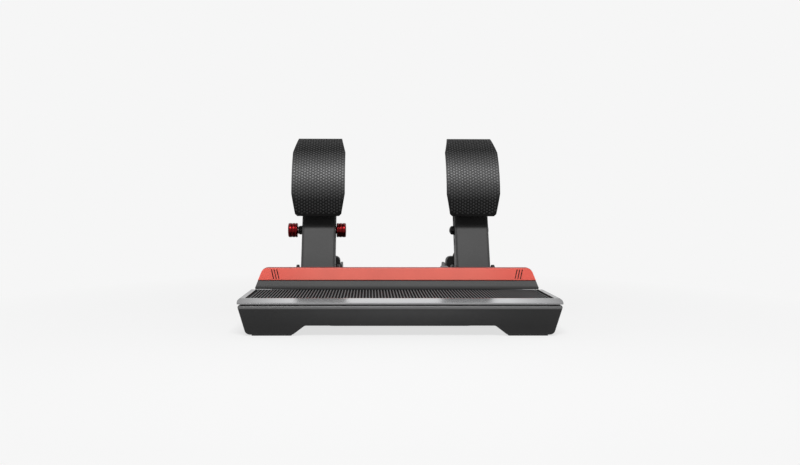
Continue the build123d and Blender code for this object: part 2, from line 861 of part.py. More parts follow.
# The pedal modules, both built by the same functions
def build_frame(name, x):
    """A folded channel: two ears at the pivot, a low waist and walls that hold the rear housing."""
    ear_angle = radians(frame_slope)
    slope_top = pivot_height + ear_radius * sin(ear_angle)
    slope_start = at(pivot_depth) + ear_radius * cos(ear_angle)
    slope_end = slope_start + (slope_top - frame_waist_height) * tan(ear_angle)
    with BuildPart() as frame:
        with BuildSketch(side_plane(x - frame_half)) as wall:
            with BuildLine():
                Polyline(
                    (at(pivot_depth) - ear_radius, base_top),
                    (at(pivot_depth) - ear_radius, pivot_height),
                    (slope_start, slope_top),
                    (slope_end, frame_waist_height),
                    (at(frame_waist_end), frame_waist_height),
                    (at(frame_rear_start), frame_rear_height),
                    (at(frame_rear_end), frame_rear_height),
                    (at(frame_end), frame_end_height),
                    (at(frame_end), base_top),
                    close=True,
                )
            make_face()
            bends = wall.vertices().filter_by(
                lambda v: v.X > slope_start + cut_over and v.Y > base_top + cut_over
            )
            fillet(bends, radius=frame_bend)
            with Locations((at(pivot_depth), pivot_height)):
                Circle(ear_radius)
        extrude(amount=2 * frame_half)
        floor_edges = frame.edges().filter_by(Axis.Y).group_by(Axis.Z)[0]
        fillet(floor_edges, radius=frame_sheet - cut_over)
        with BuildSketch(side_plane(x - frame_inner / 2)):
            with Locations((0, floor_top + overall_length / 2)):
                Rectangle(2 * overall_length, overall_length)
        extrude(amount=frame_inner, mode=Mode.SUBTRACT)
        with BuildSketch(side_plane(x - frame_half)):
            with Locations((at(pivot_depth), pivot_height)):
                Circle(bush_radius + run_gap)
            with Locations(
                (at(housing_front + housing_bolt_inset), housing_bolt_height),
                (at(housing_rear - housing_bolt_inset), housing_bolt_height),
            ):
                Circle(bolt_radius + run_gap)
        extrude(amount=2 * frame_half, mode=Mode.SUBTRACT)
        with BuildSketch(Plane.XY.offset(base_top)):
            for depth in frame_screw_depths:
                with Locations((x - frame_screw_x, at(depth)), (x + frame_screw_x, at(depth))):
                    Circle(frame_screw_radius + run_gap)
        extrude(amount=frame_sheet, mode=Mode.SUBTRACT)
        if name == "throttle":
            with BuildSketch(side_plane(x - frame_half)):
                with Locations(*sensor_places):
                    Circle(small_screw_radius + run_gap)
            extrude(amount=frame_sheet, mode=Mode.SUBTRACT)
    finish(frame, name + "_frame")


def build_pivot(name, x, side):
    """The axle with its head on the outer side, its clip on the inner side and the two flanged bushes."""
    end = frame_half + clip_thickness + loose_gap + axle_tail
    with BuildPart() as axle:
        with BuildSketch(side_plane(x)):
            with Locations((at(pivot_depth), pivot_height)):
                Circle(axle_radius)
        extrude(amount=-side * end)
        extrude(axle.faces().filter_by(GeomType.PLANE).sort_by(Axis.X)[-1 if side > 0 else 0],
                amount=frame_half + loose_gap)
        outer_plane = side_plane(x + side * (frame_half + loose_gap))
        with BuildSketch(outer_plane):
            with Locations((at(pivot_depth), pivot_height)):
                Circle(axle_head_radius)
        extrude(amount=side * axle_head_height)
        tip = axle.faces().filter_by(GeomType.PLANE).sort_by(Axis.X)[-1 if side > 0 else 0]
        fillet(tip.edges(), radius=axle_head_height / 3)
        with BuildSketch(side_plane(x + side * (frame_half + loose_gap + axle_head_height))):
            with Locations((at(pivot_depth), pivot_height)):
                RegularPolygon(axle_head_radius / 2, 6)
        extrude(amount=-side * axle_head_height / 2, mode=Mode.SUBTRACT)
        with BuildSketch(side_plane(x - side * (frame_half + loose_gap))):
            with Locations((at(pivot_depth), pivot_height)):
                Circle(axle_radius + cut_over)
                Circle(axle_radius - clip_groove, mode=Mode.SUBTRACT)
        extrude(amount=-side * clip_thickness, mode=Mode.SUBTRACT)
        if name == "throttle":
            with BuildSketch(side_plane(x - side * end)):
                with Locations((at(pivot_depth), pivot_height)):
                    Circle(magnet_radius)
            extrude(amount=side * magnet_depth, mode=Mode.SUBTRACT)
    finish(axle, name + "_axle")
    with BuildPart() as clip:
        with BuildSketch(side_plane(x - side * (frame_half + loose_gap))):
            with Locations((at(pivot_depth), pivot_height)):
                Circle(clip_radius)
                Circle(axle_radius - clip_groove, mode=Mode.SUBTRACT)
            with Locations((at(pivot_depth), pivot_height - clip_radius)):
                Rectangle(axle_radius, clip_radius, mode=Mode.SUBTRACT)
        extrude(amount=-side * clip_thickness)
    finish(clip, name + "_axle_clip")
    with BuildPart() as bushes:
        for hand in (-1, 1):
            with BuildSketch(side_plane(x + hand * frame_half)):
                with Locations((at(pivot_depth), pivot_height)):
                    Circle(bush_radius)
                    Circle(axle_radius + run_gap, mode=Mode.SUBTRACT)
            extrude(amount=-hand * frame_sheet)
            with BuildSketch(side_plane(x + hand * frame_inner / 2)):
                with Locations((at(pivot_depth), pivot_height)):
                    Circle(bush_flange_radius)
                    Circle(axle_radius + run_gap, mode=Mode.SUBTRACT)
            extrude(amount=-hand * (frame_inner / 2 - arm_half - loose_gap))
    finish(bushes, name + "_bushes")


def build_arm(name, x):
    """A channel folded from sheet, open at the back, round at the pivot and tapered to the top."""
    lean_axis = Axis((0, 0, 0), arm_plane(x).x_dir)
    forward_axis = Axis((0, 0, 0), arm_plane(x).y_dir)
    with BuildPart() as arm:
        with BuildSketch(arm_plane(x)):
            with BuildLine():
                Polyline(
                    (0, ear_radius),
                    (arm_length, ear_radius),
                    (arm_length, -arm_top_back),
                    (arm_taper_start, -ear_radius),
                    (0, -ear_radius),
                    close=True,
                )
            make_face()
            Circle(ear_radius)
        extrude(amount=arm_half, both=True)
        front_edges = arm.edges().filter_by(lean_axis).sort_by(forward_axis)[-2:]
        fillet(front_edges, radius=arm_bend)
        with BuildSketch(arm_plane(x)):
            with Locations((arm_length / 2, -ear_radius)):
                Rectangle(2 * arm_length, 2 * (2 * ear_radius - arm_sheet))
            with Locations((-ear_radius, 0)):
                Rectangle(2 * (ear_radius - arm_web_start), 4 * ear_radius)
        extrude(amount=arm_inner_half, both=True, mode=Mode.SUBTRACT)
        with BuildSketch(arm_plane(x)):
            Circle(axle_radius + run_gap)
            for step in (-1, 0, 1):
                with Locations((pin_reach + step * pin_spare_step, 0)):
                    Circle(pin_radius + run_gap)
        extrude(amount=arm_half, both=True, mode=Mode.SUBTRACT)
        with BuildSketch(bracket_face(x)):
            with Locations((0, -bracket_bolt_step / 2), (0, bracket_bolt_step / 2)):
                Circle(bolt_radius + run_gap)
        extrude(amount=-arm_sheet, mode=Mode.SUBTRACT)
    finish(arm, name + "_arm")


# The plate's arc centre in the arm's own plane, and the face that its bracket is bolted to
arc_y = at(plate_centre_depth) - at(pivot_depth)
arc_z = plate_centre_height - pivot_height
arc_reach = arc_y * sin(radians(arm_lean)) + arc_z * cos(radians(arm_lean))
arc_forward = arc_z * sin(radians(arm_lean)) - arc_y * cos(radians(arm_lean))


def bracket_face(x, forward=ear_radius):
    """On the arm's front face behind the plate: local x is X, local y runs up the arm."""
    y, z = on_arm(arc_reach, forward)
    return Plane(origin=(x, y, z), x_dir=(1, 0, 0), z_dir=arm_plane(x).y_dir)


def build_bracket(name, x):
    """A hat bracket: a web on the arm, two cheeks and two flanges curved to the plate's back."""
    back_radius = plate_radius - plate_thickness
    flange_radius = back_radius - bracket_sheet
    reach = back_radius + arc_forward
    with BuildPart() as bracket:
        with BuildSketch(arm_plane(x)):
            with Locations((arc_reach, ear_radius + reach / 2)):
                Rectangle(bracket_length, reach)
            with Locations((arc_reach, arc_forward)):
                Circle(back_radius, mode=Mode.INTERSECT)
        extrude(amount=bracket_web_half, both=True)
        with BuildSketch(arm_plane(x)):
            with Locations((arc_reach, ear_radius + bracket_sheet + reach / 2)):
                Rectangle(bracket_length + 2 * cut_over, reach)
        extrude(amount=bracket_web_half - bracket_sheet, both=True, mode=Mode.SUBTRACT)
        for hand in (-1, 1):
            with BuildSketch(arm_plane(x).offset(hand * (bracket_web_half - bracket_sheet))):
                with Locations((arc_reach, ear_radius + reach / 2)):
                    Rectangle(bracket_length, reach)
                with Locations((arc_reach, arc_forward)):
                    Circle(back_radius, mode=Mode.INTERSECT)
                    Circle(flange_radius, mode=Mode.SUBTRACT)
            extrude(amount=hand * (bracket_flange_half - bracket_web_half + bracket_sheet))
        with BuildSketch(bracket_face(x)):
            with Locations((0, -bracket_bolt_step / 2), (0, bracket_bolt_step / 2)):
                Circle(bolt_radius + run_gap)
        extrude(amount=bracket_sheet, mode=Mode.SUBTRACT)
        with BuildSketch(bracket_face(x)):
            for step in (-1, 1):
                with Locations(
                    (-bracket_screw_x, step * bracket_screw_step / 2),
                    (bracket_screw_x, step * bracket_screw_step / 2),
                ):
                    Circle(small_screw_radius + run_gap)
        extrude(amount=reach, mode=Mode.SUBTRACT)
    finish(bracket, name + "_plate_bracket")


def screw_face_forward():
    """How far forward of the arm's axis a plate screw's head meets the curved flange."""
    flange_radius = plate_radius - plate_thickness - bracket_sheet
    return arc_forward + sqrt(flange_radius**2 - (bracket_screw_step / 2 + small_head_radius) ** 2)


def build_plate(name, x):
    """The pedal plate: a bent plate, convex to the driver, cut to an eight-sided outline."""
    with BuildPart() as plate:
        with BuildSketch(side_plane(x - plate_width / 2)):
            with Locations((at(plate_centre_depth), plate_centre_height)):
                Circle(plate_radius)
                Circle(plate_radius - plate_thickness, mode=Mode.SUBTRACT)
            with Locations((at(plate_centre_depth) - plate_radius, plate_centre_height)):
                Rectangle(2 * plate_radius, 2 * plate_radius, mode=Mode.INTERSECT)
        extrude(amount=plate_width)
        with BuildSketch(front_plane(at(plate_centre_depth))):
            with BuildLine():
                Polyline(
                    (x - plate_chin_width / 2, plate_low_height),
                    (x + plate_chin_width / 2, plate_low_height),
                    (x + plate_low_width / 2, plate_chin_height),
                    (x + plate_width / 2, plate_low_kink),
                    (x + plate_width / 2, plate_high_kink),
                    (x + plate_top_width / 2, plate_high_height),
                    (x - plate_top_width / 2, plate_high_height),
                    (x - plate_width / 2, plate_high_kink),
                    (x - plate_width / 2, plate_low_kink),
                    (x - plate_low_width / 2, plate_chin_height),
                    close=True,
                )
            make_face()
        extrude(amount=2 * plate_radius, mode=Mode.INTERSECT)
        front = plate.faces().filter_by(GeomType.CYLINDER).sort_by(SortBy.AREA)[-1]
        chamfer(front.edges(), length=plate_edge)
        with BuildSketch(bracket_face(x, screw_face_forward())):
            for step in (-1, 1):
                with Locations(
                    (-bracket_screw_x, step * bracket_screw_step / 2),
                    (bracket_screw_x, step * bracket_screw_step / 2),
                ):
                    Circle(small_screw_radius + run_gap)
        extrude(amount=bracket_sheet + plate_screw_bite + loose_gap, mode=Mode.SUBTRACT)
    finish(plate, name + "_pedal_plate")


def build_plate_screws(name, x):
    """Four screws from behind the flanges into the plate, and two bolts with nuts through the arm."""
    places = [
        (hand * bracket_screw_x, step * bracket_screw_step / 2) for hand in (-1, 1) for step in (-1, 1)
    ]
    bolt_places = [(0, -bracket_bolt_step / 2), (0, bracket_bolt_step / 2)]
    web_front = bracket_face(x, ear_radius + bracket_sheet)
    bolt_plane = Plane(origin=web_front.origin, x_dir=web_front.x_dir, z_dir=-web_front.z_dir)
    grip = bracket_sheet + arm_sheet
    screw_set(
        name + "_plate_screws",
        [
            (
                places,
                bracket_face(x, screw_face_forward()),
                small_screw_radius,
                bracket_sheet + plate_screw_bite,
                small_head_radius,
                small_head_height,
            ),
            (bolt_places, bolt_plane, bolt_radius, grip, bolt_head_radius, bolt_head_height),
        ],
        [(bolt_places, bolt_plane.offset(grip), bolt_head_radius, nut_height)],
    )


def turned(name, x, profile, axis_y, axis_z, bore=0, bore_from=0, bore_to=0, hex_radius=0, hex_length=0):
    """A turned piece on an X axis: profile is pairs of x and radius, with an optional bore and hexagon."""
    with BuildPart() as piece:
        with BuildSketch(Plane(origin=(x, axis_y, axis_z), x_dir=(1, 0, 0), z_dir=(0, -1, 0))):
            with BuildLine():
                Polyline((profile[0][0], 0), *profile, (profile[-1][0], 0), close=True)
            make_face()
        revolve(axis=Axis((x, axis_y, axis_z), (1, 0, 0)))
        if hex_radius:
            with BuildSketch(side_plane(x + profile[0][0])):
                with Locations((axis_y, axis_z)):
                    RegularPolygon(hex_radius, 6)
            extrude(amount=hex_length)
        if bore:
            with BuildSketch(side_plane(x + bore_from)):
                with Locations((axis_y, axis_z)):
                    Circle(bore)
            extrude(amount=bore_to - bore_from, mode=Mode.SUBTRACT)
    finish(piece, name)


def knob_profile(start, sign):
    """A thumb knob from its inner face: a short hub, a rounded rim and a shallow turned groove."""
    body = start + sign * knob_neck
    end = body + sign * knob_length
    groove = body + sign * knob_length / 4
    return [
        (start, knob_radius / 2),
        (body, knob_radius / 2),
        (body, knob_radius - knob_rim / 2),
        (body + sign * knob_rim / 2, knob_radius),
        (groove - sign * knob_groove, knob_radius),
        (groove, knob_radius - knob_groove),
        (groove + sign * knob_groove, knob_radius),
        (end - sign * knob_rim, knob_radius),
        (end - sign * knob_rim / 3, knob_radius - knob_rim / 3),
        (end, knob_radius - knob_rim),
    ]


def cap_nut_profile(start, sign, dome, tip):
    """The round part of a cap nut: a washer face and a dome that ends at the tip's radius."""
    top = start + sign * cap_nut_hex
    body = cap_nut_radius * cos(pi / 6)
    return [
        (start, cap_nut_radius),
        (start + sign * cap_nut_hex / 4, cap_nut_radius),
        (start + sign * cap_nut_hex / 4, body),
        (top, body),
        (top + sign * dome / 2, tip + (body - tip) * dome_shoulder_share),
        (top + sign * dome, tip),
    ]


def build_rod(name, x):
    """The push rod with its eye, spacers, preload nut, front cup and stop nut."""
    with BuildPart() as rod:
        with BuildSketch(side_plane(x - eye_half)):
            with Locations((pin_y, pin_z)):
                Circle(eye_radius)
        extrude(amount=2 * eye_half)
        fillet(rod.edges().filter_by(GeomType.CIRCLE), radius=knob_rim)
        with BuildSketch(rod_plane(x, eye_radius / 2)):
            Circle(rod_radius)
        extrude(amount=rod_end - eye_radius / 2)
        with BuildSketch(side_plane(x - eye_half)):
            with Locations((pin_y, pin_z)):
                Circle(pin_radius + run_gap)
        extrude(amount=2 * eye_half, mode=Mode.SUBTRACT)
        chamfer(rod.faces().sort_by(Axis((0, 0, 0), rod_dir))[-1].edges(), length=knob_groove)
    finish(rod, name + "_push_rod")
    with BuildPart() as spacers:
        for hand in (-1, 1):
            with BuildSketch(side_plane(x + hand * (eye_half + loose_gap))):
                with Locations((pin_y, pin_z)):
                    Circle(spacer_radius)
                    Circle(pin_radius + run_gap, mode=Mode.SUBTRACT)
            extrude(amount=hand * (arm_inner_half - eye_half - 2 * loose_gap))
    finish(spacers, name + "_pin_spacers")
    with BuildPart() as nut:
        with BuildSketch(rod_plane(x, preload_start)):
            RegularPolygon(preload_radius, 6)
            Circle(rod_radius + run_gap, mode=Mode.SUBTRACT)
        extrude(amount=preload_height)
    finish(nut, name + "_preload_nut")
    cup_start = preload_start + preload_height
    with BuildPart() as cup:
        with BuildSketch(rod_plane(x, cup_start)):
            Circle(cup_radius)
            Circle(rod_radius + run_gap, mode=Mode.SUBTRACT)
        extrude(amount=cup_thickness)
        with BuildSketch(rod_plane(x, cup_start + cup_thickness)):
            Circle(cup_radius)
            Circle(cup_radius - cup_lip_wall, mode=Mode.SUBTRACT)
        extrude(amount=cup_lip)
        chamfer(cup.faces().sort_by(Axis((0, 0, 0), rod_dir))[0].edges().sort_by(SortBy.LENGTH)[-1],
                length=cup_lip_wall / 2)
    finish(cup, name + "_front_cup")
    with BuildPart() as stop:
        with BuildSketch(rod_plane(x, rear_seat_reach + loose_gap)):
            RegularPolygon(preload_radius, 6)
            Circle(rod_radius + run_gap, mode=Mode.SUBTRACT)
        extrude(amount=stop_height)
    finish(stop, name + "_stop_nut")


def build_housing(name, x):
    """The rear housing: a block with rounded shoulders, a round seat for the stack and a rear boss."""
    droop = radians(rod_droop)
    seat_y = pin_y + (seat_reach + housing_seat_setback) * cos(droop)
    seat_z = pin_z - (seat_reach + housing_seat_setback) * sin(droop)
    chin_y = seat_y + (housing_chin - seat_z) * tan(droop)
    brow_y = seat_y + (housing_top - seat_z) * tan(droop)
    with BuildPart() as housing:
        with BuildSketch(side_plane(x - housing_width / 2)):
            with BuildLine():
                Polyline(
                    (at(housing_front), floor_top),
                    (at(housing_front), housing_chin),
                    (chin_y, housing_chin),
                    (brow_y, housing_top),
                    (at(housing_rear) - housing_rear_slope, housing_top),
                    (at(housing_rear), housing_top - 2 * housing_rear_slope),
                    (at(housing_rear), floor_top),
                    close=True,
                )
            make_face()
        extrude(amount=housing_width)
        shoulders = housing.edges().filter_by(Axis.Y).group_by(Axis.Z)[-1]
        fillet(shoulders, radius=housing_shoulder)
        with BuildSketch(rod_plane(x, seat_reach)):
            Circle(seat_radius)
        extrude(amount=seat_radius)
        with BuildSketch(rod_plane(x, rear_seat_reach)):
            Circle(rear_seat_radius)
        extrude(amount=-seat_radius)
        with BuildSketch(rod_plane(x, seat_reach)):
            Circle(guide_radius)
        extrude(amount=rear_seat_reach - seat_reach, mode=Mode.SUBTRACT)
        with BuildSketch(Plane.XY.offset(floor_top)):
            with Locations((x, at((housing_front + housing_rear) / 2))):
                RectangleRounded(
                    housing_width - 4 * housing_core_wall,
                    housing_rear - housing_front - 2 * housing_core_wall,
                    housing_core_wall / 3,
                )
        extrude(amount=housing_core_height, mode=Mode.SUBTRACT)
        for hand in (-1, 1):
            with BuildSketch(side_plane(x + hand * housing_width / 2)):
                with Locations(
                    (at(housing_front + housing_bolt_inset), housing_bolt_height),
                    (at(housing_rear - housing_bolt_inset), housing_bolt_height),
                ):
                    Circle(bolt_radius + run_gap)
            extrude(amount=-hand * housing_bolt_bite, mode=Mode.SUBTRACT)
    finish(housing, name + "_rear_housing")
    with BuildPart() as bolts:
        for hand in (-1, 1):
            places = (
                (at(housing_front + housing_bolt_inset), housing_bolt_height),
                (at(housing_rear - housing_bolt_inset), housing_bolt_height),
            )
            with BuildSketch(side_plane(x + hand * frame_half)):
                with Locations(*places):
                    Circle(bolt_radius)
            extrude(amount=-hand * (frame_sheet + housing_bolt_bite - 2 * loose_gap))
            with BuildSketch(side_plane(x + hand * frame_half)):
                with Locations(*places):
                    Circle(bolt_head_radius)
            extrude(amount=hand * bolt_head_height)
            with BuildSketch(side_plane(x + hand * (frame_half + bolt_head_height))):
                with Locations(*places):
                    RegularPolygon(bolt_radius, 6)
            extrude(amount=-hand * bolt_head_height / 2, mode=Mode.SUBTRACT)
    finish(bolts, name + "_housing_bolts")


for name, side in (("brake", -1), ("throttle", 1)):
    x = side * module_x
    build_frame(name, x)
    build_pivot(name, x, side)
    build_arm(name, x)
    build_bracket(name, x)
    build_plate(name, x)
    build_plate_screws(name, x)
    build_rod(name, x)
    build_housing(name, x)

# Brake cross pin: a cap nut and a thumb knob outside, a thumb knob inside
brake_x = -module_x
throttle_x = module_x
collar_reach = cap_nut_hex + collar_dome
nut_reach = cap_nut_hex + cap_nut_dome
outer_knob_start = arm_half + collar_reach + loose_gap
inner_knob_start = arm_half + loose_gap
knob_bore_depth = knob_neck + knob_length - knob_wall
pin_left = -(outer_knob_start + knob_bore_depth - loose_gap)
pin_right = inner_knob_start + knob_bore_depth - loose_gap
turned(
    "brake_cross_pin", brake_x, [(pin_left, pin_radius), (pin_right, pin_radius)], pin_y, pin_z
)
turned(
    "brake_knob_outer",
    brake_x,
    knob_profile(-outer_knob_start, -1),
    pin_y,
    pin_z,
    pin_radius + run_gap,
    -outer_knob_start,
    -outer_knob_start - knob_bore_depth,
)
turned(
    "brake_knob_inner",
    brake_x,
    knob_profile(inner_knob_start, 1),
    pin_y,
    pin_z,
    pin_radius + run_gap,
    inner_knob_start,
    inner_knob_start + knob_bore_depth,
)
turned(
    "brake_cap_nut",
    brake_x,
    cap_nut_profile(-arm_half, -1, collar_dome, collar_tip_radius),
    pin_y,
    pin_z,
    pin_radius + run_gap,
    -arm_half,
    -arm_half - collar_reach,
    cap_nut_radius,
    -cap_nut_hex,
)

# Throttle cross pin: a low head outside and a cap nut inside
cap_wall = cap_nut_dome / 2
turned(
    "throttle_cross_pin",
    throttle_x,
    [
        (-arm_half - nut_reach + cap_wall + loose_gap, pin_radius),
        (arm_half, pin_radius),
        (arm_half, pin_head_radius),
        (arm_half + pin_head_height, pin_head_radius - pin_head_height / 2),
    ],
    pin_y,
    pin_z,
)
turned(
    "throttle_cap_nut",
    throttle_x,
    cap_nut_profile(-arm_half, -1, cap_nut_dome, pin_radius / 2),
    pin_y,
    pin_z,
    pin_radius + run_gap,
    -arm_half,
    -arm_half - nut_reach + cap_wall,
    cap_nut_radius,
    -cap_nut_hex,
)

# Brake stack on the rod: elastomer discs on a ring load cell
stack_start = preload_start + preload_height + cup_thickness
cell_start = seat_reach - cell_thickness
disc_length = (cell_start - stack_start) / disc_count


def rod_section(x, reach):
    """Through the rod's axis: local x runs down the rod from a reach, local y is X."""
    origin = (x, pin_y + reach * rod_dir[1], pin_z + reach * rod_dir[2])
    return Plane(origin=origin, x_dir=rod_dir, z_dir=(0, -rod_dir[2], rod_dir[1]))


with BuildPart() as discs:
    for number in range(disc_count):
        with BuildSketch(rod_section(brake_x, stack_start + number * disc_length)):
            with BuildLine():
                Line((0, disc_bore), (0, disc_radius))
                ThreePointArc(
                    (0, disc_radius), (disc_length / 2, disc_radius + disc_bulge), (disc_length, disc_radius)
                )
                Line((disc_length, disc_radius), (disc_length, disc_bore))
                Line((disc_length, disc_bore), (0, disc_bore))
            make_face()
        revolve(axis=Axis((brake_x, pin_y, pin_z), rod_dir))
finish(discs, "brake_elastomers")
with BuildPart() as cell:
    with BuildSketch(rod_plane(brake_x, cell_start)):
        Circle(cell_radius * cell_ring_share)
    extrude(amount=cell_thickness)
    with BuildSketch(rod_plane(brake_x, cell_start + cell_step)):
        Circle(cell_radius)
    extrude(amount=cell_thickness - cell_step)
    with BuildSketch(rod_plane(brake_x, cell_start)):
        Circle(guide_radius)
    extrude(amount=cell_thickness, mode=Mode.SUBTRACT)
finish(cell, "brake_load_cell")

# Throttle spring between the front cup and a rear cup, one unbroken wire with close end turns
with BuildPart() as rear_cup:
    with BuildSketch(rod_plane(throttle_x, seat_reach - rear_cup_thickness)):
        Circle(rear_cup_radius)
        Circle(guide_radius, mode=Mode.SUBTRACT)
    extrude(amount=rear_cup_thickness)
finish(rear_cup, "throttle_rear_cup")
coil_start = stack_start + loose_gap + spring_wire
coil_end = seat_reach - rear_cup_thickness - loose_gap - spring_wire
end_pitch = 2 * spring_wire + spring_end_gap
open_turns = spring_turns - 2 * spring_end_turns
open_pitch = (coil_end - coil_start - 2 * spring_end_turns * end_pitch) / open_turns
coil_plane = rod_plane(throttle_x, 0)


def coil_rise(turn):
    """How far down the rod the wire is after some turns, and the pitch there."""
    if turn < spring_end_turns:
        return coil_start + turn * end_pitch, end_pitch
    if turn <= spring_turns - spring_end_turns:
        return coil_start + spring_end_turns * end_pitch + (turn - spring_end_turns) * open_pitch, open_pitch
    return coil_end - (spring_turns - turn) * end_pitch, end_pitch


def coil_point(turn, radius=spring_radius):
    """A point of the wire's line and the wire's direction there."""
    angle = 2 * pi * turn
    rise, pitch = coil_rise(turn)
    point = coil_plane.from_local_coords(Vector(radius * cos(angle), radius * sin(angle), rise))
    along = Vector(-sin(angle), cos(angle), pitch / (2 * pi * radius))
    return point, (coil_plane.from_local_coords(along) - coil_plane.origin).normalized()


def arc_joint(start, start_dir, end, end_dir):
    """Where two tangent arcs of equal reach meet between two points with given directions."""
    chord = end - start
    square = 2 * (1 - start_dir.dot(end_dir))
    linear = 2 * chord.dot(start_dir + end_dir)
    reach = (-linear + sqrt(linear**2 + 4 * square * chord.dot(chord))) / (2 * square)
    return (start + start_dir * reach + end - end_dir * reach) * 0.5


def arc_heading(heading, start, end):
    """The direction in which an arc arrives that left its start with a given direction."""
    chord = (end - start).normalized()
    return chord * (2 * heading.dot(chord)) - heading


quarter_count = 4
quarters = int(round(spring_turns * quarter_count))
knots = [coil_point(number / quarter_count) for number in range(quarters + 1)]
with BuildPart() as spring:
    with BuildLine() as coil:
        for (start, start_dir), (end, end_dir) in zip(knots, knots[1:]):
            joint = arc_joint(start, start_dir, end, end_dir)
            TangentArc(start, joint, tangent=start_dir)
            TangentArc(joint, end, tangent=arc_heading(start_dir, start, joint))
    with BuildSketch(Plane(origin=coil.line @ 0, z_dir=coil.line % 0)):
        Circle(spring_wire)
    sweep()
finish(spring, "throttle_spring")
# the least gap of the wire to itself, measured between points at least half a turn apart
sample_count = 48
samples = [coil_point(number / sample_count)[0] for number in range(int(spring_turns * sample_count) + 1)]
coil_gap = min(
    (first - second).length - 2 * spring_wire
    for index, first in enumerate(samples)
    for second in samples[index + sample_count // 2:index + 2 * sample_count]
)
print("throttle spring: least gap to itself", round(coil_gap, 2), "mm, open pitch", round(open_pitch, 2), "mm")

# Throttle magnet in the end of the axle, and the sensor that faces it from the frame's inner side
axle_end = frame_half + clip_thickness + loose_gap + axle_tail
with BuildPart() as magnet:
    with BuildSketch(side_plane(throttle_x - axle_end)):
        with Locations((at(pivot_depth), pivot_height)):
            Circle(magnet_radius - run_gap)
    extrude(amount=magnet_depth)
finish(magnet, "throttle_magnet")
sensor_face = frame_half + clip_thickness + loose_gap + axle_tail + sensor_air
with BuildPart() as sensor:
    with BuildSketch(side_plane(throttle_x - sensor_face)):
        with Locations((at(pivot_depth), pivot_height - sensor_drop)):
            RectangleRounded(sensor_length, sensor_height, sensor_corner)
    extrude(amount=-sensor_thickness)
    chamfer(sensor.faces().sort_by(Axis.X)[0].edges(), length=cut_over)
    with BuildSketch(side_plane(throttle_x - sensor_face)):
        with Locations(*sensor_places):
            Circle(sensor_leg_radius)
    extrude(amount=sensor_face - frame_half)
    with BuildSketch(side_plane(throttle_x - frame_half)):
        with Locations(*sensor_places):
            Circle(small_screw_radius + run_gap)
    extrude(amount=-sensor_screw_bite, mode=Mode.SUBTRACT)
finish(sensor, "throttle_sensor")

# Screws and nuts that hold the frames in the base plate's slots
places = [
    (side * module_x + hand * frame_screw_x, at(depth))
    for side in (-1, 1)
    for depth in frame_screw_depths
    for hand in (-1, 1)
]
screw_set(
    "frame_screws",
    [
        (
            [(place[0], -place[1]) for place in places],
            Plane(origin=(0, 0, floor_top), x_dir=(1, 0, 0), z_dir=(0, 0, -1)),
            frame_screw_radius,
            frame_sheet + base_thickness + frame_nut_height,
            frame_head_radius,
            frame_head_height,
        ),
        (
            [(-place[0], place[1]) for place in sensor_places],
            Plane(origin=(throttle_x - frame_inner / 2, 0, 0), x_dir=(0, -1, 0), z_dir=(-1, 0, 0)),
            small_screw_radius,
            frame_sheet + sensor_screw_bite - loose_gap,
            small_head_radius,
            small_head_height * 3 / 4,
        ),
    ],
)
with BuildPart() as frame_nuts:
    with BuildSketch(Plane.XY.offset(foot_height)):
        with Locations(*places):
            RegularPolygon(frame_nut_radius, 6)
            Circle(frame_screw_radius + run_gap, mode=Mode.SUBTRACT)
    extrude(amount=-frame_nut_height)
finish(frame_nuts, "frame_nuts")

# Controller box: a tray with corner posts, a lid with screws and three sockets at the rear
with BuildPart() as controller_box:
    with BuildSketch(Plane.XY.offset(base_top)):
        with Locations((0, box_y)):
            RectangleRounded(box_width, box_length, box_corner)
    extrude(amount=box_height)
    with BuildSketch(Plane.XY.offset(base_top + box_wall)):
        with Locations((0, box_y)):
            RectangleRounded(box_width - 2 * box_wall, box_length - 2 * box_wall, box_corner - box_wall)
    extrude(amount=box_height, mode=Mode.SUBTRACT)
    with BuildSketch(Plane.XY.offset(base_top)):
        with Locations((0, box_y)):
            with GridLocations(2 * post_x, 2 * post_y, 2, 2):
                Circle(box_post_radius)
    extrude(amount=box_height)
    with BuildSketch(front_plane(box_y + box_length / 2)):
        for number in (-1, 0, 1):
            with Locations((number * socket_pitch, base_top + socket_lift + socket_height / 2)):
                RectangleRounded(socket_width, socket_height, socket_corner)
    extrude(amount=box_wall, mode=Mode.SUBTRACT)
    with BuildSketch(Plane.XY.offset(base_top + box_height)):
        with Locations((0, box_y)):
            with GridLocations(2 * post_x, 2 * post_y, 2, 2):
                Circle(small_screw_radius + run_gap)
    extrude(amount=-box_height, mode=Mode.SUBTRACT)
finish(controller_box, "controller_box")
with BuildPart() as controller_lid:
    with BuildSketch(Plane.XY.offset(base_top + box_height)):
        with Locations((0, box_y)):
            RectangleRounded(box_width, box_length, box_corner)
            with GridLocations(2 * post_x, 2 * post_y, 2, 2):
                Circle(small_screw_radius + run_gap, mode=Mode.SUBTRACT)
    extrude(amount=box_lid)
    rim = controller_lid.faces().sort_by(Axis.Z)[-1].outer_wire().edges()
    fillet(rim, radius=cut_over)
finish(controller_lid, "controller_lid")
lid_places = [(hand * post_x, -box_y + step * post_y) for hand in (-1, 1) for step in (-1, 1)]
screw_set(
    "controller_screws",
    [
        (
            lid_places,
            Plane(origin=(0, 0, base_top + box_height + box_lid), x_dir=(1, 0, 0), z_dir=(0, 0, -1)),
            small_screw_radius,
            box_lid + box_height / 3,
            small_head_radius,
            small_head_height,
        ),
        (
            [(place[0], -place[1]) for place in lid_places],
            Plane.XY.offset(foot_height),
            small_screw_radius,
            base_thickness + box_height / 3,
            small_head_radius,
            small_head_height,
        ),
    ],
)
